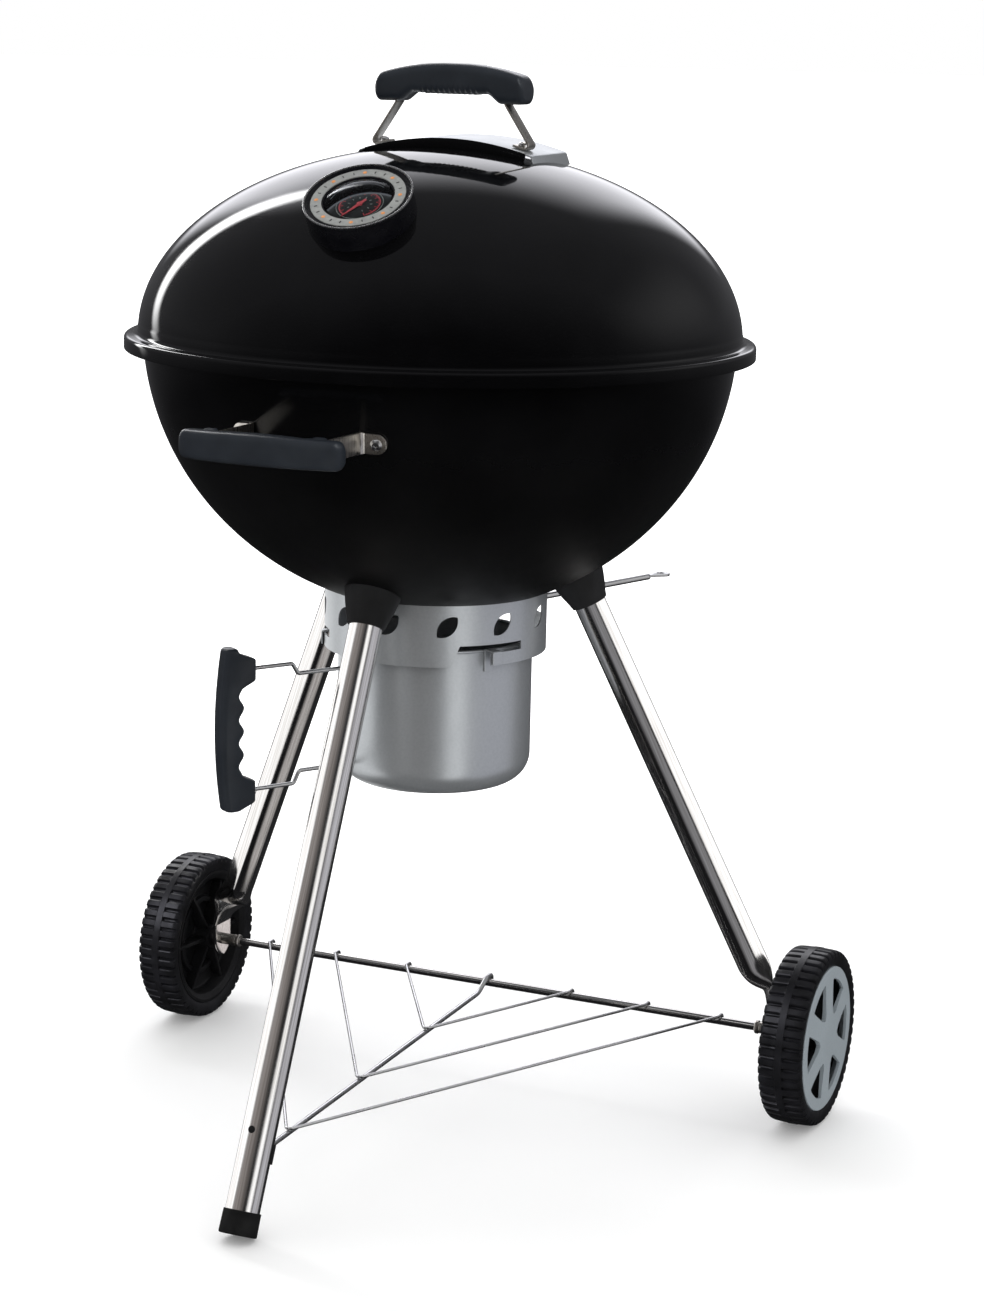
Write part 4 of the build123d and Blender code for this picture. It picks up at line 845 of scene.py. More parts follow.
def bowl_handle(name, middle_azimuth):
    """A grip held off the bowl by two bent straps."""
    grip_low, grip_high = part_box(f"{name}_handle_grip")
    grip_z = (grip_low.z + grip_high.z) / 2
    half_height = (grip_high.z - grip_low.z) / 2
    out = outward(middle_azimuth)
    along = UP.cross(out)
    reach = (grip_high.x - grip_low.x) / 2
    far = max((corner - KETTLE).dot(out) for corner in (grip_low, grip_high))
    near = min((corner - KETTLE).dot(out) for corner in (grip_low, grip_high))
    place = placed(KETTLE + UP * grip_z, along, UP)      # its y runs in, towards the kettle

    def limits(x):
        outer = far - 0.010 * (x / 0.075) ** 2
        inner = near + 0.006 * (1 - smooth_step(abs(x), 0.042, 0.052))
        swell = 0.0018 * (1 - smooth_step(abs(x), 0.0, 0.079))
        return -outer, -inner, -half_height + 0.0018, half_height - 0.0018 + swell

    bm = bmesh.new()
    bar(bm, place, -reach, reach, limits, 0.0075, 0.0065)
    for side in (-1, 1):
        boss = place @ Matrix.Translation((side * STRAP_X, -(near + 0.004), half_height - 0.0045))
        plate(bm, [box_outline(-0.006, 0.006, -0.0045, 0.0045, 0.003)], 0.007, 0.0015, boss)
    finished(f"{name}_grip_moulding", bm, "grip_plastic", f"{name}_handle_grip", sharp=50)

    bm = bmesh.new()
    half_width, thickness = 0.0098, 0.0022
    for side in (-1, 1):
        azimuth = middle_azimuth + side * SCREW_ANGLE
        screw, rise, _ = bowl_surface(azimuth, grip_z, thickness / 2 + 0.0006)
        run = (UP.cross(outward(azimuth)) * side).normalized()
        strap_foot = KETTLE + along * side * STRAP_X + UP * grip_z
        bend = strap_foot + out * ((screw - KETTLE).dot(out) + (screw - strap_foot).dot(along * side) * 0.22)
        start = strap_foot + out * (near + 0.012)
        turned = rounded([(start, 0), (bend, 0.006), (screw + run * 0.0098, 0)], 8, closed=False)
        tip = turned.pop()
        straight = turned[-1]
        for step in range(1, 13):
            turned.append(straight.lerp(screw, step / 12))
        ends = [half_width] * len(turned)
        for step in range(1, 13):
            share = sin(pi / 2 * step / 12)
            turned.append(screw.lerp(tip, share))
            ends.append(half_width * max(0.08, sqrt(max(0.0, 1 - share**2))))
        leans = [smooth_step(index, 2, 9) for index in range(len(turned))]
        sides = [UP.lerp(rise, lean) for lean in leans]
        sections = [box_outline(-end, end, -thickness / 2, thickness / 2, min(0.0005, end * 0.5), 3)
                    for end in ends]
        carry(bm, turned, sections, sides)
    finished(f"{name}_strap_pair", bm, "strap_steel", f"{name}_handle_straps")


def handle_screws():
    """Four pan-head screws, each with a nut inside the bowl."""
    grip_z = middle("front_handle_grip").z
    bm = bmesh.new()
    for middle_azimuth in (0, 180):
        for side in (-1, 1):
            azimuth = middle_azimuth + side * SCREW_ANGLE
            seat, rise, normal = bowl_surface(azimuth, grip_z, 0.0028)
            place = placed(seat, rise, normal)
            head = rounded([((0, -0.0120), 0), ((0.003, -0.0120), 0), ((0.003, 0), 0), ((0.0055, 0), 0.0004),
                            ((0.0055, 0.0012), 0.001), ((0.0030, 0.0030), 0.0018), ((0.0018, 0.0031), 0.0003),
                            ((0.0014, 0.0018), 0), ((0, 0.0018), 0)], closed=False)
            lathe(bm, head, place, 40)
            nut = place @ Matrix.Translation((0, 0, -0.0102))
            plate(bm, [round_section(0.0058, 6)], 0.0045, 0.0005, nut)
    finished("handle_screw_set", bm, "steel_wire", "handle_screws")


bowl_handle("front", 0)
bowl_handle("rear", 180)
handle_screws()


# --- legs, sockets and foot
TUBE_R = 0.01575
TUBE_SIDES = 96
TONGUE_R = 0.0172        # half the width and half the thickness of a rear tube's flat end
TONGUE_T = 0.0022
TONGUE_POWER = 0.55      # how square the section of the flat end is
TONGUE_RISE = 0.019      # the flat end starts this far above the axle
SOCKET_Z = 0.518
LEG_TOP_Z = 0.538
FRONT_LINE = (KETTLE + Vector((0, -0.1486, 0.520)), KETTLE + Vector((0, -0.389, 0)))
REAR_TOP = Vector((0.1328, 0.0666, 0.520))
REAR_FOOT = Vector((0.309, 0.1422, 0.119))


def leg_line(name):
    """The top and the lower end of a leg's centre line."""
    if name == "front":
        return FRONT_LINE
    side = -1 if name == "left" else 1
    return tuple(KETTLE + Vector((side * point.x, point.y, point.z)) for point in (REAR_TOP, REAR_FOOT))


def at_height(line, z):
    """The point of a line at height z."""
    top, end = line
    return top + (end - top) * ((z - top.z) / (end.z - top.z))


def to_bowl(start, direction):
    """The distance from start along direction to the bowl's outside."""
    offset = start - KETTLE - UP * BOWL_BASE
    scale = (1 / BOWL_R**2, 1 / BOWL_R**2, 1 / BOWL_H**2)
    a = sum(s * d * d for s, d in zip(scale, direction))
    b = 2 * sum(s * o * d for s, o, d in zip(scale, offset, direction))
    c = sum(s * o * o for s, o in zip(scale, offset)) - 1
    return (-b - sqrt(max(0.0, b * b - 4 * a * c))) / (2 * a)


def leg_socket(name):
    """A moulded cone that takes the leg and is seated on the bowl."""
    line = leg_line(name)
    up = (line[0] - line[1]).normalized()
    place = placed(at_height(line, SOCKET_Z), up.orthogonal(), up)
    outline = [(TUBE_R + 0.0001, 0.004), (TUBE_R + 0.0001, 0.0006), (TUBE_R + 0.0007, 0)]
    outline += [(0.0180 - 0.0012 * (1 - sin(a)), 0.0012 * (1 - cos(a))) for a in (0.0, 0.4, 0.8, 1.2, pi / 2)]
    outline += [(0.0180 + 0.0090 * sin(pi / 2 * share) ** 1.15, 0.0012 + 0.0388 * share)
                for share in (step / 14 for step in range(1, 15))]
    sides = 72
    rings = []
    for radius, height in outline:
        rings.append([place @ Vector((radius * cos(tau * k / sides), radius * sin(tau * k / sides), height))
                      for k in range(sides)])
    last = rings[-1]
    for share, swell in ((0.5, 0.0003), (0.9, 0.0006), (1.0, 0.0001)):
        ring = []
        for k, point in enumerate(last):
            away = (place.to_3x3() @ Vector((cos(tau * k / sides), sin(tau * k / sides), 0))) * swell
            ring.append(point + away + up * (to_bowl(point, up) * share + (0.0006 if share == 1.0 else 0)))
        rings.append(ring)
    bm = bmesh.new()
    skin(bm, rings)
    finished(f"{name}_socket_cone", bm, "socket_black", f"{name}_leg_socket", sharp=50)


def front_leg():
    """The front tube, its black plug and its rubber foot."""
    line = leg_line("front")
    up = (line[0] - line[1]).normalized()
    foot = at_height(line, 0.0058)
    bm = bmesh.new()
    rod(bm, [foot + up * 0.004, at_height(line, LEG_TOP_Z)], TUBE_R, TUBE_SIDES)
    finished("front_leg_tube", bm, "polished_steel", "front_leg", material=LEG_STEEL["front"])
    facing = up.cross(-RIGHT)
    plug = placed(at_height(line, middle("leg_plug").z) + facing * (TUBE_R - 0.0001), RIGHT, facing)
    button = rounded([((0, -0.003), 0), ((0.0031, -0.003), 0), ((0.0034, 0.0003), 0.0002), ((0, 0.0008), 0)],
                     closed=False)
    finished("front_leg_plug", lathed(button, plug, 32), "rubber_black", "leg_plug")
    cap = rounded([((0, 0), 0), ((0.0176, 0), 0.0016), ((0.0172, 0.022), 0.0012),
                   ((TUBE_R + 0.0002, 0.022), 0), ((TUBE_R - 0.001, 0.0045), 0), ((0, 0.0045), 0)],
                  closed=False)
    bm = lathed(cap, placed(foot, RIGHT, up), 72)
    for vertex in bm.verts:
        vertex.co.z = max(vertex.co.z, 0.0)
    finished("front_foot_cap", bm, "rubber_black", "foot_cap")


def squared_ring(centre, first, second, half_first, half_second, power):
    """A ring of points: an ellipse at power 1, and nearer to a rectangle below it."""
    points = []
    for k in range(TUBE_SIDES):
        c, s = cos(tau * k / TUBE_SIDES), sin(tau * k / TUBE_SIDES)
        c = abs(c) ** power * (1 if c > 0 else -1)
        s = abs(s) ** power * (1 if s > 0 else -1)
        points.append(centre + first * (half_first * c) + second * (half_second * s))
    return points


def rear_leg(name, side):
    """A rear tube whose lower end is pressed into a flat tongue round the axle."""
    top, end = leg_line(name)
    down = (end - top).normalized()
    across = down.cross(BACK).cross(down).normalized()
    through = down.cross(across)
    start = at_height((top, end), LEG_TOP_Z)
    round_end = end - down * 0.042
    rings = [squared_ring(start + (round_end - start) * step / 8, across, through, TUBE_R, TUBE_R, 1.0)
             for step in range(9)]
    # the tube is pressed flat and turned upright; the section makes a quarter turn on the way
    low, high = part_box(f"{name}_leg")
    outer_x = high.x if side > 0 else -low.x
    tongue = Vector((side * (outer_x - 0.002), AXLE.y, AXLE.z))
    tongue_top = tongue + UP * TONGUE_RISE
    flat_across, flat_through = RIGHT * -side, BACK * -side
    for step in range(1, 21):
        share = step / 20
        ease = smooth_step(share, 0, 1)
        first = across.lerp(flat_across, ease).normalized()
        second = through.lerp(flat_through, ease).normalized()
        thin = TUBE_R + (TONGUE_T - TUBE_R) * ease ** 0.8
        wide = TUBE_R + (TONGUE_R - TUBE_R) * ease
        rings.append(squared_ring(round_end.lerp(tongue_top, share), first, second, thin, wide,
                                  1.0 - (1.0 - TONGUE_POWER) * ease))
    below = [(drop, TONGUE_R) for drop in (0.0006, 0.0012)]
    for step in range(1, 22):
        angle = pi / 2 * step / 21
        below.append((TONGUE_RISE + TONGUE_R * sin(angle), TONGUE_R * max(0.06, cos(angle))))
    for drop, wide in below:
        rings.append(squared_ring(tongue_top - UP * drop, flat_across, flat_through, TONGUE_T, wide,
                                  TONGUE_POWER))
    bm = bmesh.new()
    skin(bm, rings)
    finished(f"{name}_leg_tube", bm, "polished_steel", f"{name}_leg", sharp=50, material=LEG_STEEL[name])


for leg_name in ("front", "left", "right"):
    leg_socket(leg_name)
front_leg()
for leg_name, leg_side in SIDES:
    rear_leg(leg_name, leg_side)


# --- axle and wheels
WHEEL_R = AXLE.z
BAND_R = 0.0724
TREAD_RIBS = 52
SPOKES = 6
WINDOW_R = 0.0600        # the outer edge of the hubcap's windows


def axle_parts():
    """The axle with its sleeves, washers and push-on caps."""
    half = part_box("axle")[1].x
    bar_outline = [(0, -half), (AXLE_R - 0.0008, -half), (AXLE_R, -half + 0.0008), (AXLE_R, half - 0.0008),
                   (AXLE_R - 0.0008, half), (0, half)]
    finished("axle_rod", lathed(bar_outline, placed(AXLE, UP, RIGHT), 32), "polished_steel", "axle")
    for name, node_name, radius, length, slot in (
            ("axle_sleeve_pair", "axle_sleeves", 0.006, 0.016, "strap_steel"),
            ("axle_washer_set", "axle_washers", 0.008, 0.0079, "steel_wire"),
            ("axle_cap_pair", "axle_caps", 0.008, 0.0024, "steel_wire")):
        bm = bmesh.new()
        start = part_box(node_name)[1].x - length
        for side in (-1, 1):
            place = placed(AXLE, UP, RIGHT * side)
            lathe(bm, box_outline(AXLE_R, radius, start, start + length, 0.0006), place, 36)
            if node_name == "axle_sleeves":
                collar = box_outline(AXLE_R, 0.0068, start - 0.0045, start - 0.0005, 0.0012)
                lathe(bm, collar, place, 36)
        finished(name, bm, slot, node_name)


def wheel_frame(node_name, side):
    """A wheel's frame, its z running outwards, and the inner and the outer end of a node in it."""
    low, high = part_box(node_name)
    inner_x, outer_x = (low.x, high.x) if side > 0 else (-high.x, -low.x)
    return placed(Vector((0, AXLE.y, AXLE.z)), UP, RIGHT * side), inner_x, outer_x


def tyre(name, side):
    """A tyre with two rows of cross ribs, a plain band between them and scalloped shoulders."""
    place, inner_x, outer_x = wheel_frame(f"{name}_tyre", side)
    mid_x, half = (inner_x + outer_x) / 2, (outer_x - inner_x) / 2
    # across the tyre: (distance from its middle as a share, radius, depth of the groove there)
    profile = [(-0.90, BAND_R + 0.0002, 0), (-0.975, BAND_R + 0.003, 0), (-0.985, BAND_R + 0.007, 0),
               (-0.99, WHEEL_R - 0.0080, 0.0004), (-0.995, WHEEL_R - 0.0055, 0.0018),
               (-0.975, WHEEL_R - 0.0032, 0.0028), (-0.90, WHEEL_R - 0.0017, 0.0031),
               (-0.80, WHEEL_R - 0.0011, 0.0031), (-0.55, WHEEL_R - 0.0007, 0.0031),
               (-0.26, WHEEL_R - 0.0005, 0.0031), (-0.20, WHEEL_R - 0.0004, 0.0028),
               (-0.165, WHEEL_R - 0.0003, 0.0), (-0.155, WHEEL_R - 0.0001, 0.0)]
    profile += [(-share, radius, depth) for share, radius, depth in reversed(profile)]
    rings = []
    samples = 10
    for step in range(TREAD_RIBS * samples):
        phase = (step % samples) / samples
        groove = smooth_step(phase, 0.56, 0.70) * (1 - smooth_step(phase, 0.86, 1.0))
        angle = tau * step / (TREAD_RIBS * samples)
        ring = []
        for share, radius, depth in profile:
            r = radius - depth * groove
            ring.append(place @ Vector((r * cos(angle), r * sin(angle), mid_x + share * half)))
        rings.append(ring)
    bm = bmesh.new()
    skin(bm, rings, closed=True)
    finished(f"{name}_tyre_tread", bm, "tyre", f"{name}_tyre", sharp=28)


def wheel_core(name, side):
    """The black wheel inside the tyre: a deep dish towards the legs, with ribs and a hub."""
    place, inner_x, _ = wheel_frame(f"{name}_wheel", side)
    face = inner_x + 0.019
    outline = rounded([
        ((AXLE_R + 0.0001, inner_x), 0), ((0.0122, inner_x), 0.0008), ((0.0135, face), 0.002),
        ((0.036, face), 0.001), ((0.037, face - 0.0045), 0.001), ((0.0425, face - 0.0045), 0.001),
        ((0.0435, face), 0.001), ((0.060, face), 0.003), ((0.0635, inner_x + 0.0045), 0.002),
        ((0.0675, inner_x + 0.0025), 0.001), ((0.0690, inner_x + 0.0015), 0.0008),
        ((BAND_R, inner_x + 0.0015), 0.0008), ((BAND_R, inner_x + 0.0385), 0), ((0.069, inner_x + 0.0385), 0),
        ((0.069, face + 0.003), 0.002), ((0.0135, face + 0.003), 0.002), ((0.013, inner_x + 0.034), 0),
        ((AXLE_R + 0.0001, inner_x + 0.034), 0)], 4)
    bm = lathed(outline, place, 144)
    for number in range(SPOKES):
        turn = spun(place, (number + 0.5) / SPOKES)
        rib = [(0.0125, inner_x + 0.004), (0.0655, inner_x + 0.009), (0.0655, face + 0.001),
               (0.0125, face + 0.001)]
        blade = turn @ Matrix(((1, 0, 0, 0), (0, 0, 1, 0), (0, 1, 0, 0), (0, 0, 0, 1)))    # y and z swapped
        plate(bm, [rib], 0.0036, 0.0006, blade)
    finished(f"{name}_wheel_dish", bm, "wheel_black", f"{name}_wheel")


def hubcap(name, side):
    """A six-spoked silver cap: flat ring, spokes that rise to a rounded hub, open windows."""
    place, back_x, top_x = wheel_frame(f"{name}_hubcap", side)
    low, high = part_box(f"{name}_hubcap")
    ring_r = (high.z - low.z) / 2
    ring_x = back_x + 0.0040
    crown_r = 0.0585
    crown = [(r, ring_x + (top_x - ring_x) * (1 - smooth_step(r, 0.010, 0.058)))
             for r in (crown_r - crown_r * step / 26 for step in range(26))]
    outline = rounded([((ring_r - 0.0002, back_x - 0.004), 0), ((ring_r, ring_x), 0.0012),
                       ((WINDOW_R, ring_x), 0.0005)], closed=False)
    back = [(0, back_x + 0.001), (WINDOW_R, back_x + 0.001), (0.066, back_x - 0.005),
            (0.0685, back_x - 0.004)]
    body = back + outline + crown + [(0, top_x)]
    cutter = bmesh.new()
    angles = [radians(-19 + 38 * step / 10) for step in range(11)]
    arc = [(WINDOW_R * cos(angle), WINDOW_R * sin(angle)) for angle in angles]
    window = rounded([(point, 0.0022 if point in (arc[0], arc[-1]) else 0) for point in arc]
                     + [((0.0300, 0.0060), 0.006), ((0.0245, 0.0), 0.003), ((0.0300, -0.0060), 0.006)])
    for number in range(SPOKES):
        turn = spun(place, (number + 0.5) / SPOKES)
        plate(cutter, [window], 0.030, 0, turn @ Matrix.Translation((0, 0, back_x + 0.002)))
    finished(f"{name}_hubcap_star", carve(lathed(body, place, 180), cutter), "hubcap_silver",
             f"{name}_hubcap", sharp=32, bevel=0.0007)


axle_parts()
for wheel_name, wheel_side in SIDES:
    tyre(wheel_name, wheel_side)
    wheel_core(wheel_name, wheel_side)
    hubcap(wheel_name, wheel_side)


# --- wire rack
WIRE_R = 0.0015
CENTRE_WIRE_R = 0.0025
CLIP_R = 0.0167
CLIP_REACH = 78          # degrees that the clip reaches round the leg on each side
RACK_FRONT = Vector((0, KETTLE.y - 0.345, 0.069))
RACK_REAR = Vector((0, KETTLE.y + 0.118, 0.084))
V_WIRES = {"short": (-0.296, 0.2575), "middle": (-0.155, 0.178), "long": (-0.010, 0.0935)}


def over_axle(x, radius):
    """Corners of a wire that lies on the axle and turns down behind it."""
    top = AXLE.z + AXLE_R + radius
    back = AXLE.y + AXLE_R + radius + 0.001
    return [(Vector((x, AXLE.y - 0.004, top)), 0.004), (Vector((x, back, top)), 0.004),
            (Vector((x, back, top - 0.010)), 0)]


def wire_rack():
    """The centre wire and the three V wires that lie on it."""
    bm = bmesh.new()
    route = [(RACK_FRONT, 0), (RACK_REAR, 0.02)] + over_axle(0, CENTRE_WIRE_R)
    rod(bm, rounded(route, 8, closed=False), CENTRE_WIRE_R, 20, side=RIGHT)
    finished("rack_middle_rod", bm, "steel_wire", "rack_centre_wire")
    for name, (bend, hook_x) in V_WIRES.items():
        share = (bend - (RACK_FRONT.y - KETTLE.y)) / (RACK_REAR.y - RACK_FRONT.y)
        height = RACK_FRONT.z + (RACK_REAR.z - RACK_FRONT.z) * share + CENTRE_WIRE_R + WIRE_R
        corner = (Vector((0, KETTLE.y + bend, height)), 0.004)
        left = [(point, radius) for point, radius in reversed(over_axle(-hook_x, WIRE_R))]
        route = [(left[0][0], 0)] + left[1:] + [corner] + over_axle(hook_x, WIRE_R)
        bm = bmesh.new()
        rod(bm, rounded(route, 8, closed=False), WIRE_R, 16, side=Vector((0.03, -0.05, 1)))
        finished(f"rack_{name}_rod", bm, "steel_wire", f"rack_{name}_wire")


def rack_clip():
    """A sprung black band that holds the centre wire behind the front leg."""
    line = leg_line("front")
    up = (line[0] - line[1]).normalized()
    centre = at_height(line, middle("rack_clip").z)
    place = placed(centre, RIGHT, up)
    angles = [radians(CLIP_REACH * (step / 12 - 1)) for step in range(25)]
    path = [place @ Vector((CLIP_R * sin(angle), CLIP_R * cos(angle), 0)) for angle in angles]
    bm = bmesh.new()
    carry(bm, path, box_outline(-0.009, 0.009, -0.0008, 0.0008, 0.0003, 3), up)
    ear = placed(centre + Vector((0, 0.0166, 0)) - UP * 0.002, BACK, RIGHT)
    flap = rounded([((0, 0.012), 0.001), ((0.002, 0.012), 0.001), ((0.012, -0.006), 0.001),
                    ((0, -0.008), 0.001)])
    plate(bm, [flap], 0.0014, 0.0003, ear)
    finished("rack_clip_band", bm, "socket_black", "rack_clip")


wire_rack()
rack_clip()


# --- ash collar and pot
COLLAR_R = 0.1078
COLLAR_T = 0.0012
COLLAR_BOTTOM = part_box("ash_collar")[0].z
VENT_Z = 0.513
SEAM = 110.0             # the wrapped sheet starts and ends at this azimuth
SLOT_MIDDLES = (175.7, 295.7, 415.7)
SLOT_TOP = 0.4948
LIP_TOP = 0.4866
LEVER_SLOT = (131.0, 199.0, 0.502, 0.519)       # two azimuths and two heights
LEVER_AZIMUTH = 150.0
HOOK_AZIMUTHS = (57.8, 177.8, 297.8)


def round_collar(azimuth):
    """Distance round the collar from its seam."""
    return radians(azimuth - SEAM) * COLLAR_R


def beside(middle_azimuth, x):
    """Distance round the collar of a point x to the side of an azimuth."""
    return round_collar(middle_azimuth) + asin(x / COLLAR_R) * COLLAR_R


def leaf(azimuth):
    """The leaf-shaped air hole: the lens between two arcs, leaning to the right."""
    radius, shift = 0.0156, 0.00785
    half = sqrt(radius**2 - shift**2)
    points = []
    for side in (-1, 1):
        for step in range(13):
            angle = asin(half / radius) * (1 - 2 * step / 12)
            across = side * (radius * cos(angle) - shift)
            along = side * radius * sin(angle)
            points.append(Vector((across, along)))
    lean = Matrix.Rotation(radians(-45), 2)
    return [(beside(azimuth, turned.x), VENT_Z + turned.y) for turned in (lean @ point for point in points)]


def ash_collar():
    """Sheet ring below the bowl, with leaf-shaped holes, three hook slots and the lever's slot."""
    top = BOWL_BASE - BOWL_H * sqrt(1 - (COLLAR_R / BOWL_R) ** 2) + 0.001
    edge = [((round_collar(SEAM), COLLAR_BOTTOM), 0)]
    for azimuth in SLOT_MIDDLES:
        for x, z, radius in (
                (-0.0407, COLLAR_BOTTOM, 0), (-0.0327, SLOT_TOP, 0.001), (0.0352, SLOT_TOP, 0.001),
                (0.0352, LIP_TOP, 0.001), (-0.0015, LIP_TOP, 0.001), (-0.0015, COLLAR_BOTTOM, 0)):
            edge.append(((beside(azimuth, x), z), radius))
    edge += [((round_collar(SEAM + 360), COLLAR_BOTTOM), 0), ((round_collar(SEAM + 360), top), 0),
             ((round_collar(SEAM), top), 0)]
    holes = [leaf(azimuth) for azimuth in (1.5 + 30 * number for number in range(4, 16))
             if not LEVER_SLOT[0] - 10 < azimuth < LEVER_SLOT[1] + 6]
    first, last, low, high = LEVER_SLOT
    holes.append(box_outline(round_collar(first), round_collar(last), low, high, 0.002, 4))
    bm = bmesh.new()
    plate(bm, [rounded(edge, 4)] + holes, 0.0, 0.0, Matrix.Identity(4))
    for step in range(1, 120):
        geometry = bm.verts[:] + bm.edges[:] + bm.faces[:]
        cut_x = round_collar(SEAM + 3 * step)
        bmesh.ops.bisect_plane(bm, geom=geometry, dist=1e-6, plane_co=(cut_x, 0, 0), plane_no=(1, 0, 0))
    for vertex in bm.verts:
        azimuth = SEAM + degrees(vertex.co.x / COLLAR_R)
        vertex.co = KETTLE + outward(azimuth) * COLLAR_R + UP * vertex.co.y
    bmesh.ops.remove_doubles(bm, verts=bm.verts, dist=2e-6)
    bmesh.ops.dissolve_limit(bm, angle_limit=radians(0.2), verts=bm.verts, edges=bm.edges)
    bmesh.ops.recalc_face_normals(bm, faces=bm.faces)
    flat = Vector((1, 1, 0))
    if sum(face.normal.dot((face.calc_center_median() - KETTLE) * flat) for face in bm.faces) < 0:
        bmesh.ops.reverse_faces(bm, faces=bm.faces)
    inner = {}
    outer_faces = list(bm.faces)
    borders = [border for border in bm.edges if border.is_boundary]
    for vertex in list(bm.verts):
        away = (vertex.co - KETTLE) * flat
        inner[vertex] = bm.verts.new(vertex.co - away.normalized() * COLLAR_T)
    for face in outer_faces:
        bm.faces.new([inner[vertex] for vertex in reversed(face.verts)])
    for border in borders:
        a, b = border.verts
        bm.faces.new((a, b, inner[b], inner[a]))
    finished("ash_collar_ring", bm, "silver_paint", "ash_collar", bevel=0.00025)


def ash_pot():
    """The spun pot with its rolled rim and its three hooks."""
    low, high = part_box("ash_pot")
    radius = (high.x - low.x) / 2
    bead = 0.0016
    top = high.z - bead
    wall, corner = 0.001, 0.027
    centre = (radius - bead, top)
    roll = [(centre[0] + bead * cos(a), centre[1] + bead * sin(a))
            for a in (radians(-60 + 300 * step / 20) for step in range(21))]
    shell = rounded([((0, low.z), 0), ((radius - 0.0001, low.z), corner),
                     ((radius - 0.0001, top - 0.003), 0)], 16, closed=False)
    inner = rounded([((radius - wall, top - 0.003), 0), ((radius - wall, low.z + wall), corner - wall),
                     ((0, low.z + wall), 0)], 16, closed=False)
    finished("ash_pot_shell", lathed(shell + roll + inner, Matrix.Translation(KETTLE), 192),
             "silver_paint", "ash_pot")

    hook_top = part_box("pot_hooks")[1].z
    thick, out_r = 0.0015, COLLAR_R + 0.003
    bm = bmesh.new()
    for azimuth in HOOK_AZIMUTHS:
        place = radial(azimuth)
        corners = [((radius + thick / 2, LIP_TOP - 0.020, 0), 0),
                   ((radius + thick / 2, hook_top - thick / 2, 0), 0.0015),
                   ((out_r - thick / 2, hook_top - thick / 2, 0), 0.0015),
                   ((out_r - thick / 2, COLLAR_BOTTOM + 0.0005, 0), 0)]
        path = [place @ Vector(point) for point in rounded(corners, 6, closed=False)]
        carry(bm, path, box_outline(-0.005, 0.005, -thick / 2, thick / 2, 0.0005, 3), place.to_3x3() @ UP)
    finished("pot_hook_set", bm, "silver_paint", "pot_hooks")


POT_HANDLE_AZIMUTH = -31.0
POT_GRIP_UPPER = 0.472   # where the two ends of the wire enter the grip
POT_GRIP_LOWER = 0.355
POT_GRIP_WAVES = 0.414   # the middle of the finger waves


def pot_handle():
    """A closed wire loop from the pot's side into a moulded grip."""
    place = radial(POT_HANDLE_AZIMUTH)
    near, far = 0.0967, 0.225
    corners = [(near, 0.462), (0.155, 0.462), (0.161, POT_GRIP_UPPER), (far, POT_GRIP_UPPER),
               (far, POT_GRIP_LOWER), (0.159, POT_GRIP_LOWER), (0.153, 0.367), (near, 0.367)]
    path = [place @ Vector(point) for point in rounded([((x, y, 0), 0.004) for x, y in corners], 6)]
    bm = bmesh.new()
    rod(bm, path, 0.002, 20, closed=True, side=place.to_3x3() @ UP)
    finished("pot_handle_rod", bm, "steel_wire", "pot_handle_wire")

    low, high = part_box("pot_handle_grip")
    upright = placed(KETTLE, UP, place.to_3x3() @ UP)    # its y runs in, towards the pot

    def limits(z):
        mid = (low.z + high.z) / 2
        half = (high.z - low.z) / 2
        share = (z - mid) / half
        outer = 0.2415 - 0.0065 * share**2
        from_wire = min(abs(z - POT_GRIP_UPPER), abs(z - POT_GRIP_LOWER))
        shoulder = 1 - smooth_step(from_wire, 0.009, 0.018)
        off = z - POT_GRIP_WAVES
        waves = 0.0026 * cos(tau * off / 0.0225) * (1 - smooth_step(abs(off), 0.036, 0.047))
        inner = 0.2190 - 0.0150 * shoulder - waves + 0.004 * smooth_step(z, 0.482, 0.494)
        return -outer, -inner, -0.0095, 0.0095

    bm = bmesh.new()
    bar(bm, upright, low.z, high.z, limits, 0.005, 0.003, 0.001)
    finished("pot_grip_moulding", bm, "grip_plastic", "pot_handle_grip", sharp=50)


def damper_lever():
    """The lever that swings the damper: hub plate, rod and a flattened eye."""
    place = radial(LEVER_AZIMUTH)
    hub_z = 0.5045
    eye_r = 0.286
    corners = [((0.010, hub_z + 0.001, 0), 0), ((0.060, hub_z + 0.001, 0), 0.03),
               ((eye_r - 0.024, 0.518, 0), 0)]
    path = [place @ Vector(point) for point in rounded(corners, 8, closed=False)]
    bm = bmesh.new()
    rod(bm, path, 0.0032, 24, side=place.to_3x3() @ UP)
    plate(bm, [round_section(0.014, 48)], 0.006, 0.0008, Matrix.Translation(KETTLE + UP * (hub_z + 0.0005)))
    out = outward(LEVER_AZIMUTH)
    eye = placed(KETTLE + out * (eye_r - 0.008) + UP * 0.5188, out, UP)
    neck = rounded([((-0.0175, -0.0035), 0.001), ((-0.008, -0.0045), 0.006), ((0.004, -0.0088), 0.008),
                    ((0.0098, -0.003), 0.006), ((0.0098, 0.003), 0.006), ((0.004, 0.0088), 0.008),
                    ((-0.008, 0.0045), 0.006), ((-0.0175, 0.0035), 0.001)])
    plate(bm, [neck, round_section(0.004, 32)], 0.003, 0.0008, eye)
    finished("damper_handle", bm, "steel_wire", "damper_lever")


ash_collar()
ash_pot()
pot_handle()
damper_lever()


# --- CAD nodes that stay as they are
KEPT = {
    "grate_brackets": "strap_steel", "gauge_nut": "steel_wire", "damper_blades": "strap_steel",
    "damper_shaft": "steel_wire",
}
for kept_name, kept_slot in KEPT.items():
    kept = frame["nodes"][kept_name]
    kept.data.materials.clear()
    kept.data.materials.append(FINISHES[kept_slot])


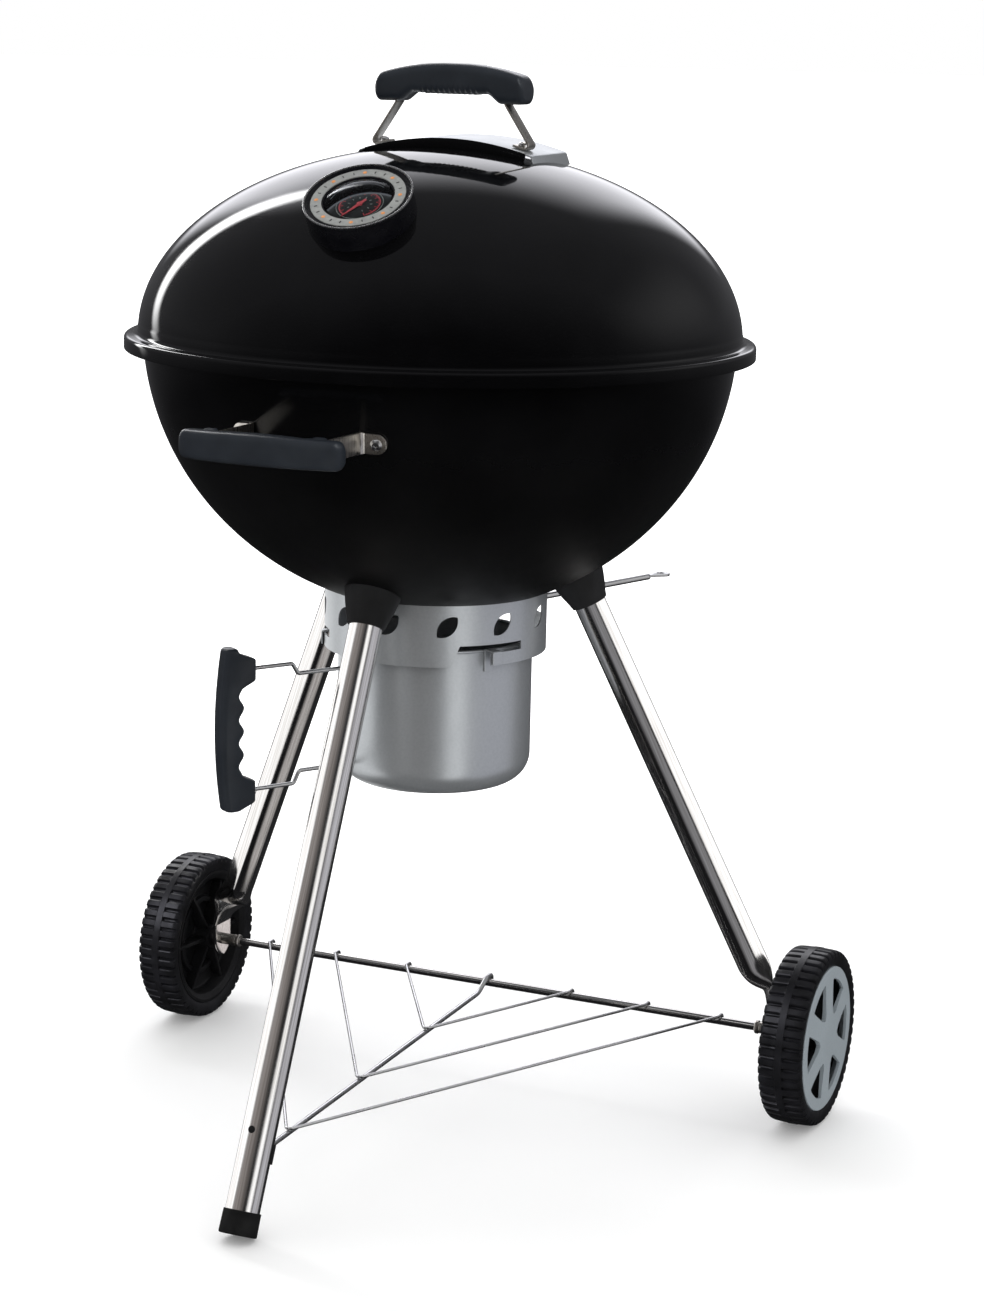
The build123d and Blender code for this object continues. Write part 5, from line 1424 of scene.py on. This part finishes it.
# --- floor, light and camera
CAMERA_AZIMUTH = 25.6    # the side of the grill that the camera stands on
CAMERA_PLACE = Vector((1.2399, KETTLE.y - 2.587, 1.0779))
CAMERA_TURN, CAMERA_DIP, CAMERA_ROLL = radians(24.50), radians(12.08), radians(1.27)
CAMERA_LENS = 82.61
STRIP_ROLL = 30.0


def pale_floor():
    """A wide pale floor that takes soft shadows near the grill and fades into white further out."""
    bm = bmesh.new()
    bmesh.ops.create_circle(bm, cap_ends=True, radius=60, segments=64)
    mesh = bpy.data.meshes.new("studio_floor")
    bm.to_mesh(mesh)
    bm.free()
    floor = bpy.data.objects.new("studio_floor", mesh)
    bpy.context.scene.collection.objects.link(floor)
    material, tree, shader = finish("pale_floor")
    where = place_in(tree)
    tint = blend(tree, spread(tree, noise(tree, where, 2.0), 0.3, 0.7), (0.86, 0.86, 0.86), (0.9, 0.9, 0.895))
    tree.links.new(tint, shader.inputs["Base Color"])
    tree.links.new(spread(tree, noise(tree, where, 3.0), 0.3, 0.7, 0.7, 0.85), shader.inputs["Roughness"])
    shader.inputs["Emission Color"].default_value = (1, 1, 1, 1)
    distance = node(tree, "VectorMath", "LENGTH", i0=where)
    glow = spread(tree, distance.outputs["Value"], 0.3, 2.4, 0.12, 1.0)
    tree.links.new(glow, shader.inputs["Emission Strength"])
    mesh.materials.append(material)
    floor.visible_glossy = False
    floor.visible_diffuse = False


def studio_world():
    """Pale surroundings for the eye and for soft fill, and dim ones for reflections."""
    world = bpy.data.worlds.new("studio")
    bpy.context.scene.world = world
    world.use_nodes = True
    tree = world.node_tree
    background = tree.nodes["Background"]
    sky = tree.nodes.new("ShaderNodeTexCoord").outputs["Generated"]
    facing = node(tree, "VectorMath", "DOT_PRODUCT", i0=sky,
                  i1=tuple(outward(CAMERA_AZIMUTH) * 0.94 - UP * 0.34))
    height = node(tree, "SeparateXYZ", Vector=sky).outputs["Z"]
    room = node(tree, "Math", "MULTIPLY", i0=spread(tree, facing.outputs["Value"], 0.75, -0.1),
                i1=spread(tree, height, -0.3, 0.1, 0.1, 1.0))
    dim = blend(tree, room.outputs[0], (0.010, 0.010, 0.011), (0.13, 0.13, 0.138))
    ray = tree.nodes.new("ShaderNodeLightPath")
    seen = blend(tree, ray.outputs["Is Glossy Ray"], (1.0, 1.0, 1.0), dim)
    tree.links.new(seen, background.inputs["Color"])
    background.inputs["Strength"].default_value = 1.0


LIGHT_FROM = 2.4         # distance of the lights for bare metal, and the height they are aimed at
LIGHT_AIM = 0.3


def softbox(name, azimuth, elevation, distance, width, height, radiance, colour=(1, 1, 1), aim=0.62,
            only=None, roll=0.0, fade_x=(0, 0.1, 0.9, 1), fade_y=(0, 0.1, 0.9, 1)):
    """A rectangular light seen from the grill's axis in a direction relative to the camera's.

    Its power follows from its radiance and size. only is a collection that alone receives it.
    Along its width and its height it grows from the first share to the second and falls from
    the third to the fourth; the width runs the way azimuths grow, and roll tips it.
    """
    direction = outward(CAMERA_AZIMUTH + azimuth) * cos(radians(elevation)) + UP * sin(radians(elevation))
    light = bpy.data.lights.new(name, "AREA")
    light.shape = "RECTANGLE"
    light.size, light.size_y = width, height
    light.energy = pi * width * height * radiance
    light.color = colour
    light.use_nodes = True
    tree = light.node_tree
    place = node(tree, "SeparateXYZ", Vector=tree.nodes.new("ShaderNodeNewGeometry").outputs["Parametric"])
    strength = 1.0
    for output, (start, full, past, end) in ((place.outputs["X"], fade_x), (place.outputs["Y"], fade_y)):
        for low, high in ((start, full), (end, past)):
            if low != high:
                ramp = node(tree, "MapRange", Value=output, From_Min=low, From_Max=high)
                ramp.interpolation_type = "SMOOTHSTEP"
                strength = node(tree, "Math", "MULTIPLY", i0=strength, i1=ramp.outputs[0]).outputs[0]
    tree.links.new(strength, tree.nodes["Emission"].inputs["Strength"])
    lamp = bpy.data.objects.new(name, light)
    lamp.location = KETTLE + UP * aim + direction * distance
    lamp.rotation_mode = "QUATERNION"
    lamp.rotation_quaternion = direction.to_track_quat("Z", "Y") @ Quaternion((0, 0, 1), radians(roll))
    lamp.visible_camera = False
    if only is not None:
        lamp.light_linking.receiver_collection = only
    bpy.context.scene.collection.objects.link(lamp)


def photo_camera():
    """The camera: in front, to the right and a little above, looking slightly down."""
    data = bpy.data.cameras.new("camera")
    data.lens = CAMERA_LENS
    data.sensor_width = 36
    camera = bpy.data.objects.new("camera", data)
    turn = Matrix.Rotation(CAMERA_TURN, 4, "Z") @ Matrix.Rotation(pi / 2 - CAMERA_DIP, 4, "X")
    camera.matrix_world = (Matrix.Translation(CAMERA_PLACE) @ turn
                           @ Matrix.Rotation(CAMERA_ROLL, 4, "Z"))
    bpy.context.scene.collection.objects.link(camera)
    bpy.context.scene.camera = camera


# which pieces each group of lights shines on
BARE_METAL = ("strap_steel", "polished_steel", "silver_paint")
metal = {}
for group in ("front", "left", "right", "other", "wires", "tyres", "grips"):
    metal[group] = bpy.data.collections.new(f"{group}_metal")
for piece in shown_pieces():
    for held in piece.material_slots:
        name = held.material.name.split(".")[0] if held.material else ""
        if name in ("tyre", "wheel_black"):
            metal["tyres"].objects.link(piece)
        elif name == "grip_plastic":
            metal["grips"].objects.link(piece)
        elif name.endswith("_leg_steel"):
            metal[name.split("_")[0]].objects.link(piece)
        elif name == "steel_wire" or piece.name == "axle_rod":
            metal["wires"].objects.link(piece)
        elif name in BARE_METAL:
            metal["other"].objects.link(piece)
pale_floor()
studio_world()
# lights that model the enamelled kettle
softbox("backdrop", 180, 30, 3.0, 3.3, 2.9, 1.9, (0.95, 0.95, 1.0), aim=0.85,
        fade_x=(0, 0.2, 0.8, 1), fade_y=(0, 0.14, 0.42, 1))
softbox("left_strip", -143, 20, 2.8, 0.5, 3.7, 9.0, aim=0.85, roll=STRIP_ROLL,
        fade_x=(0, 0.4, 0.6, 1), fade_y=(0, 0.5, 0.6, 1.1))
softbox("right_side", 98, 22, 3.0, 4.0, 2.6, 0.22, aim=0.8,
        fade_x=(0, 0.5, 0.5, 1), fade_y=(0, 0.5, 0.5, 1))
# what each leg mirrors
for side, azimuth, width, radiance, colour, fade_x in (
        ("front", -106, 4.8, 1.3, (1, 1, 1), (0, 0.05, 0.78, 1)),
        ("front", -30, 3.2, 0.24, (1.0, 0.9, 0.85), (0, 0.05, 0.35, 1.15)),
        ("front", 33, 1.6, 1.25, (1, 1, 1), (0, 0.35, 0.65, 1)),
        ("front", 82, 3.2, 0.52, (0.93, 0.93, 1.0), (0, 0.25, 0.75, 1)),
        ("left", -97, 6.0, 1.3, (1, 1, 1), (0, 0.1, 0.85, 1)),
        ("right", 4, 2.6, 0.27, (0.95, 0.95, 1.0), (0, 0.5, 1, 1)),
        ("right", 91, 6.2, 1.35, (1, 1, 1), (0, 0.14, 0.9, 1))):
    softbox(f"{side}_leg_wall_{azimuth}", azimuth, 0, LIGHT_FROM, width, 6.4, radiance, colour, aim=LIGHT_AIM,
            only=metal[side], fade_x=fade_x)
softbox("left_leg_floor", 46, -56, LIGHT_FROM, 3.6, 1.6, 0.5, (1.0, 0.96, 0.94), aim=LIGHT_AIM,
        only=metal["left"], fade_x=(0, 0.3, 0.75, 1))
softbox("left_tongue_wall", 129, -8, LIGHT_FROM, 1.6, 1.3, 0.8, (1.0, 0.93, 0.92), aim=0.15,
        only=metal["left"])
# sheen on the tyres and on the moulded grips
softbox("tyre_sheen", -62, 34, LIGHT_FROM, 1.6, 1.6, 2.6, (0.88, 0.88, 1.0), aim=0.2, only=metal["tyres"])
softbox("grip_sheen", 62, 48, LIGHT_FROM, 1.1, 1.8, 1.8, (0.92, 0.96, 1.0), aim=0.75, only=metal["grips"])
# walls and strips that the other bare metal mirrors
for name, azimuth, distance, width, radiance, colour in (
        ("wall_left", -92, LIGHT_FROM, 2.5, 1.25, (1, 1, 1)),
        ("wall_back_left", -148, LIGHT_FROM, 2.5, 1.15, (1, 1, 1)),
        ("wall_front", -24, LIGHT_FROM + 0.3, 3.2, 0.10, (1.0, 0.9, 0.85)),
        ("strip_right", 26, LIGHT_FROM, 1.2, 1.35, (1, 1, 1)),
        ("wall_right", 74, LIGHT_FROM, 3.0, 0.5, (0.9, 0.9, 1.0))):
    softbox(name, azimuth, 0, distance, width, 5.2, radiance, colour, aim=LIGHT_AIM, only=metal["other"])
for name, azimuth, elevation, width, height, radiance in (
        ("wire_left", -96, 8, 3.0, 4.0, 0.5), ("wire_right", 58, 8, 3.0, 4.0, 0.45),
        ("wire_top", 0, 70, 3.6, 2.8, 1.0)):
    softbox(name, azimuth, elevation, LIGHT_FROM, width, height, radiance, aim=LIGHT_AIM,
            only=metal["wires"])
photo_camera()
bpy.context.scene.view_settings.view_transform = "Standard"
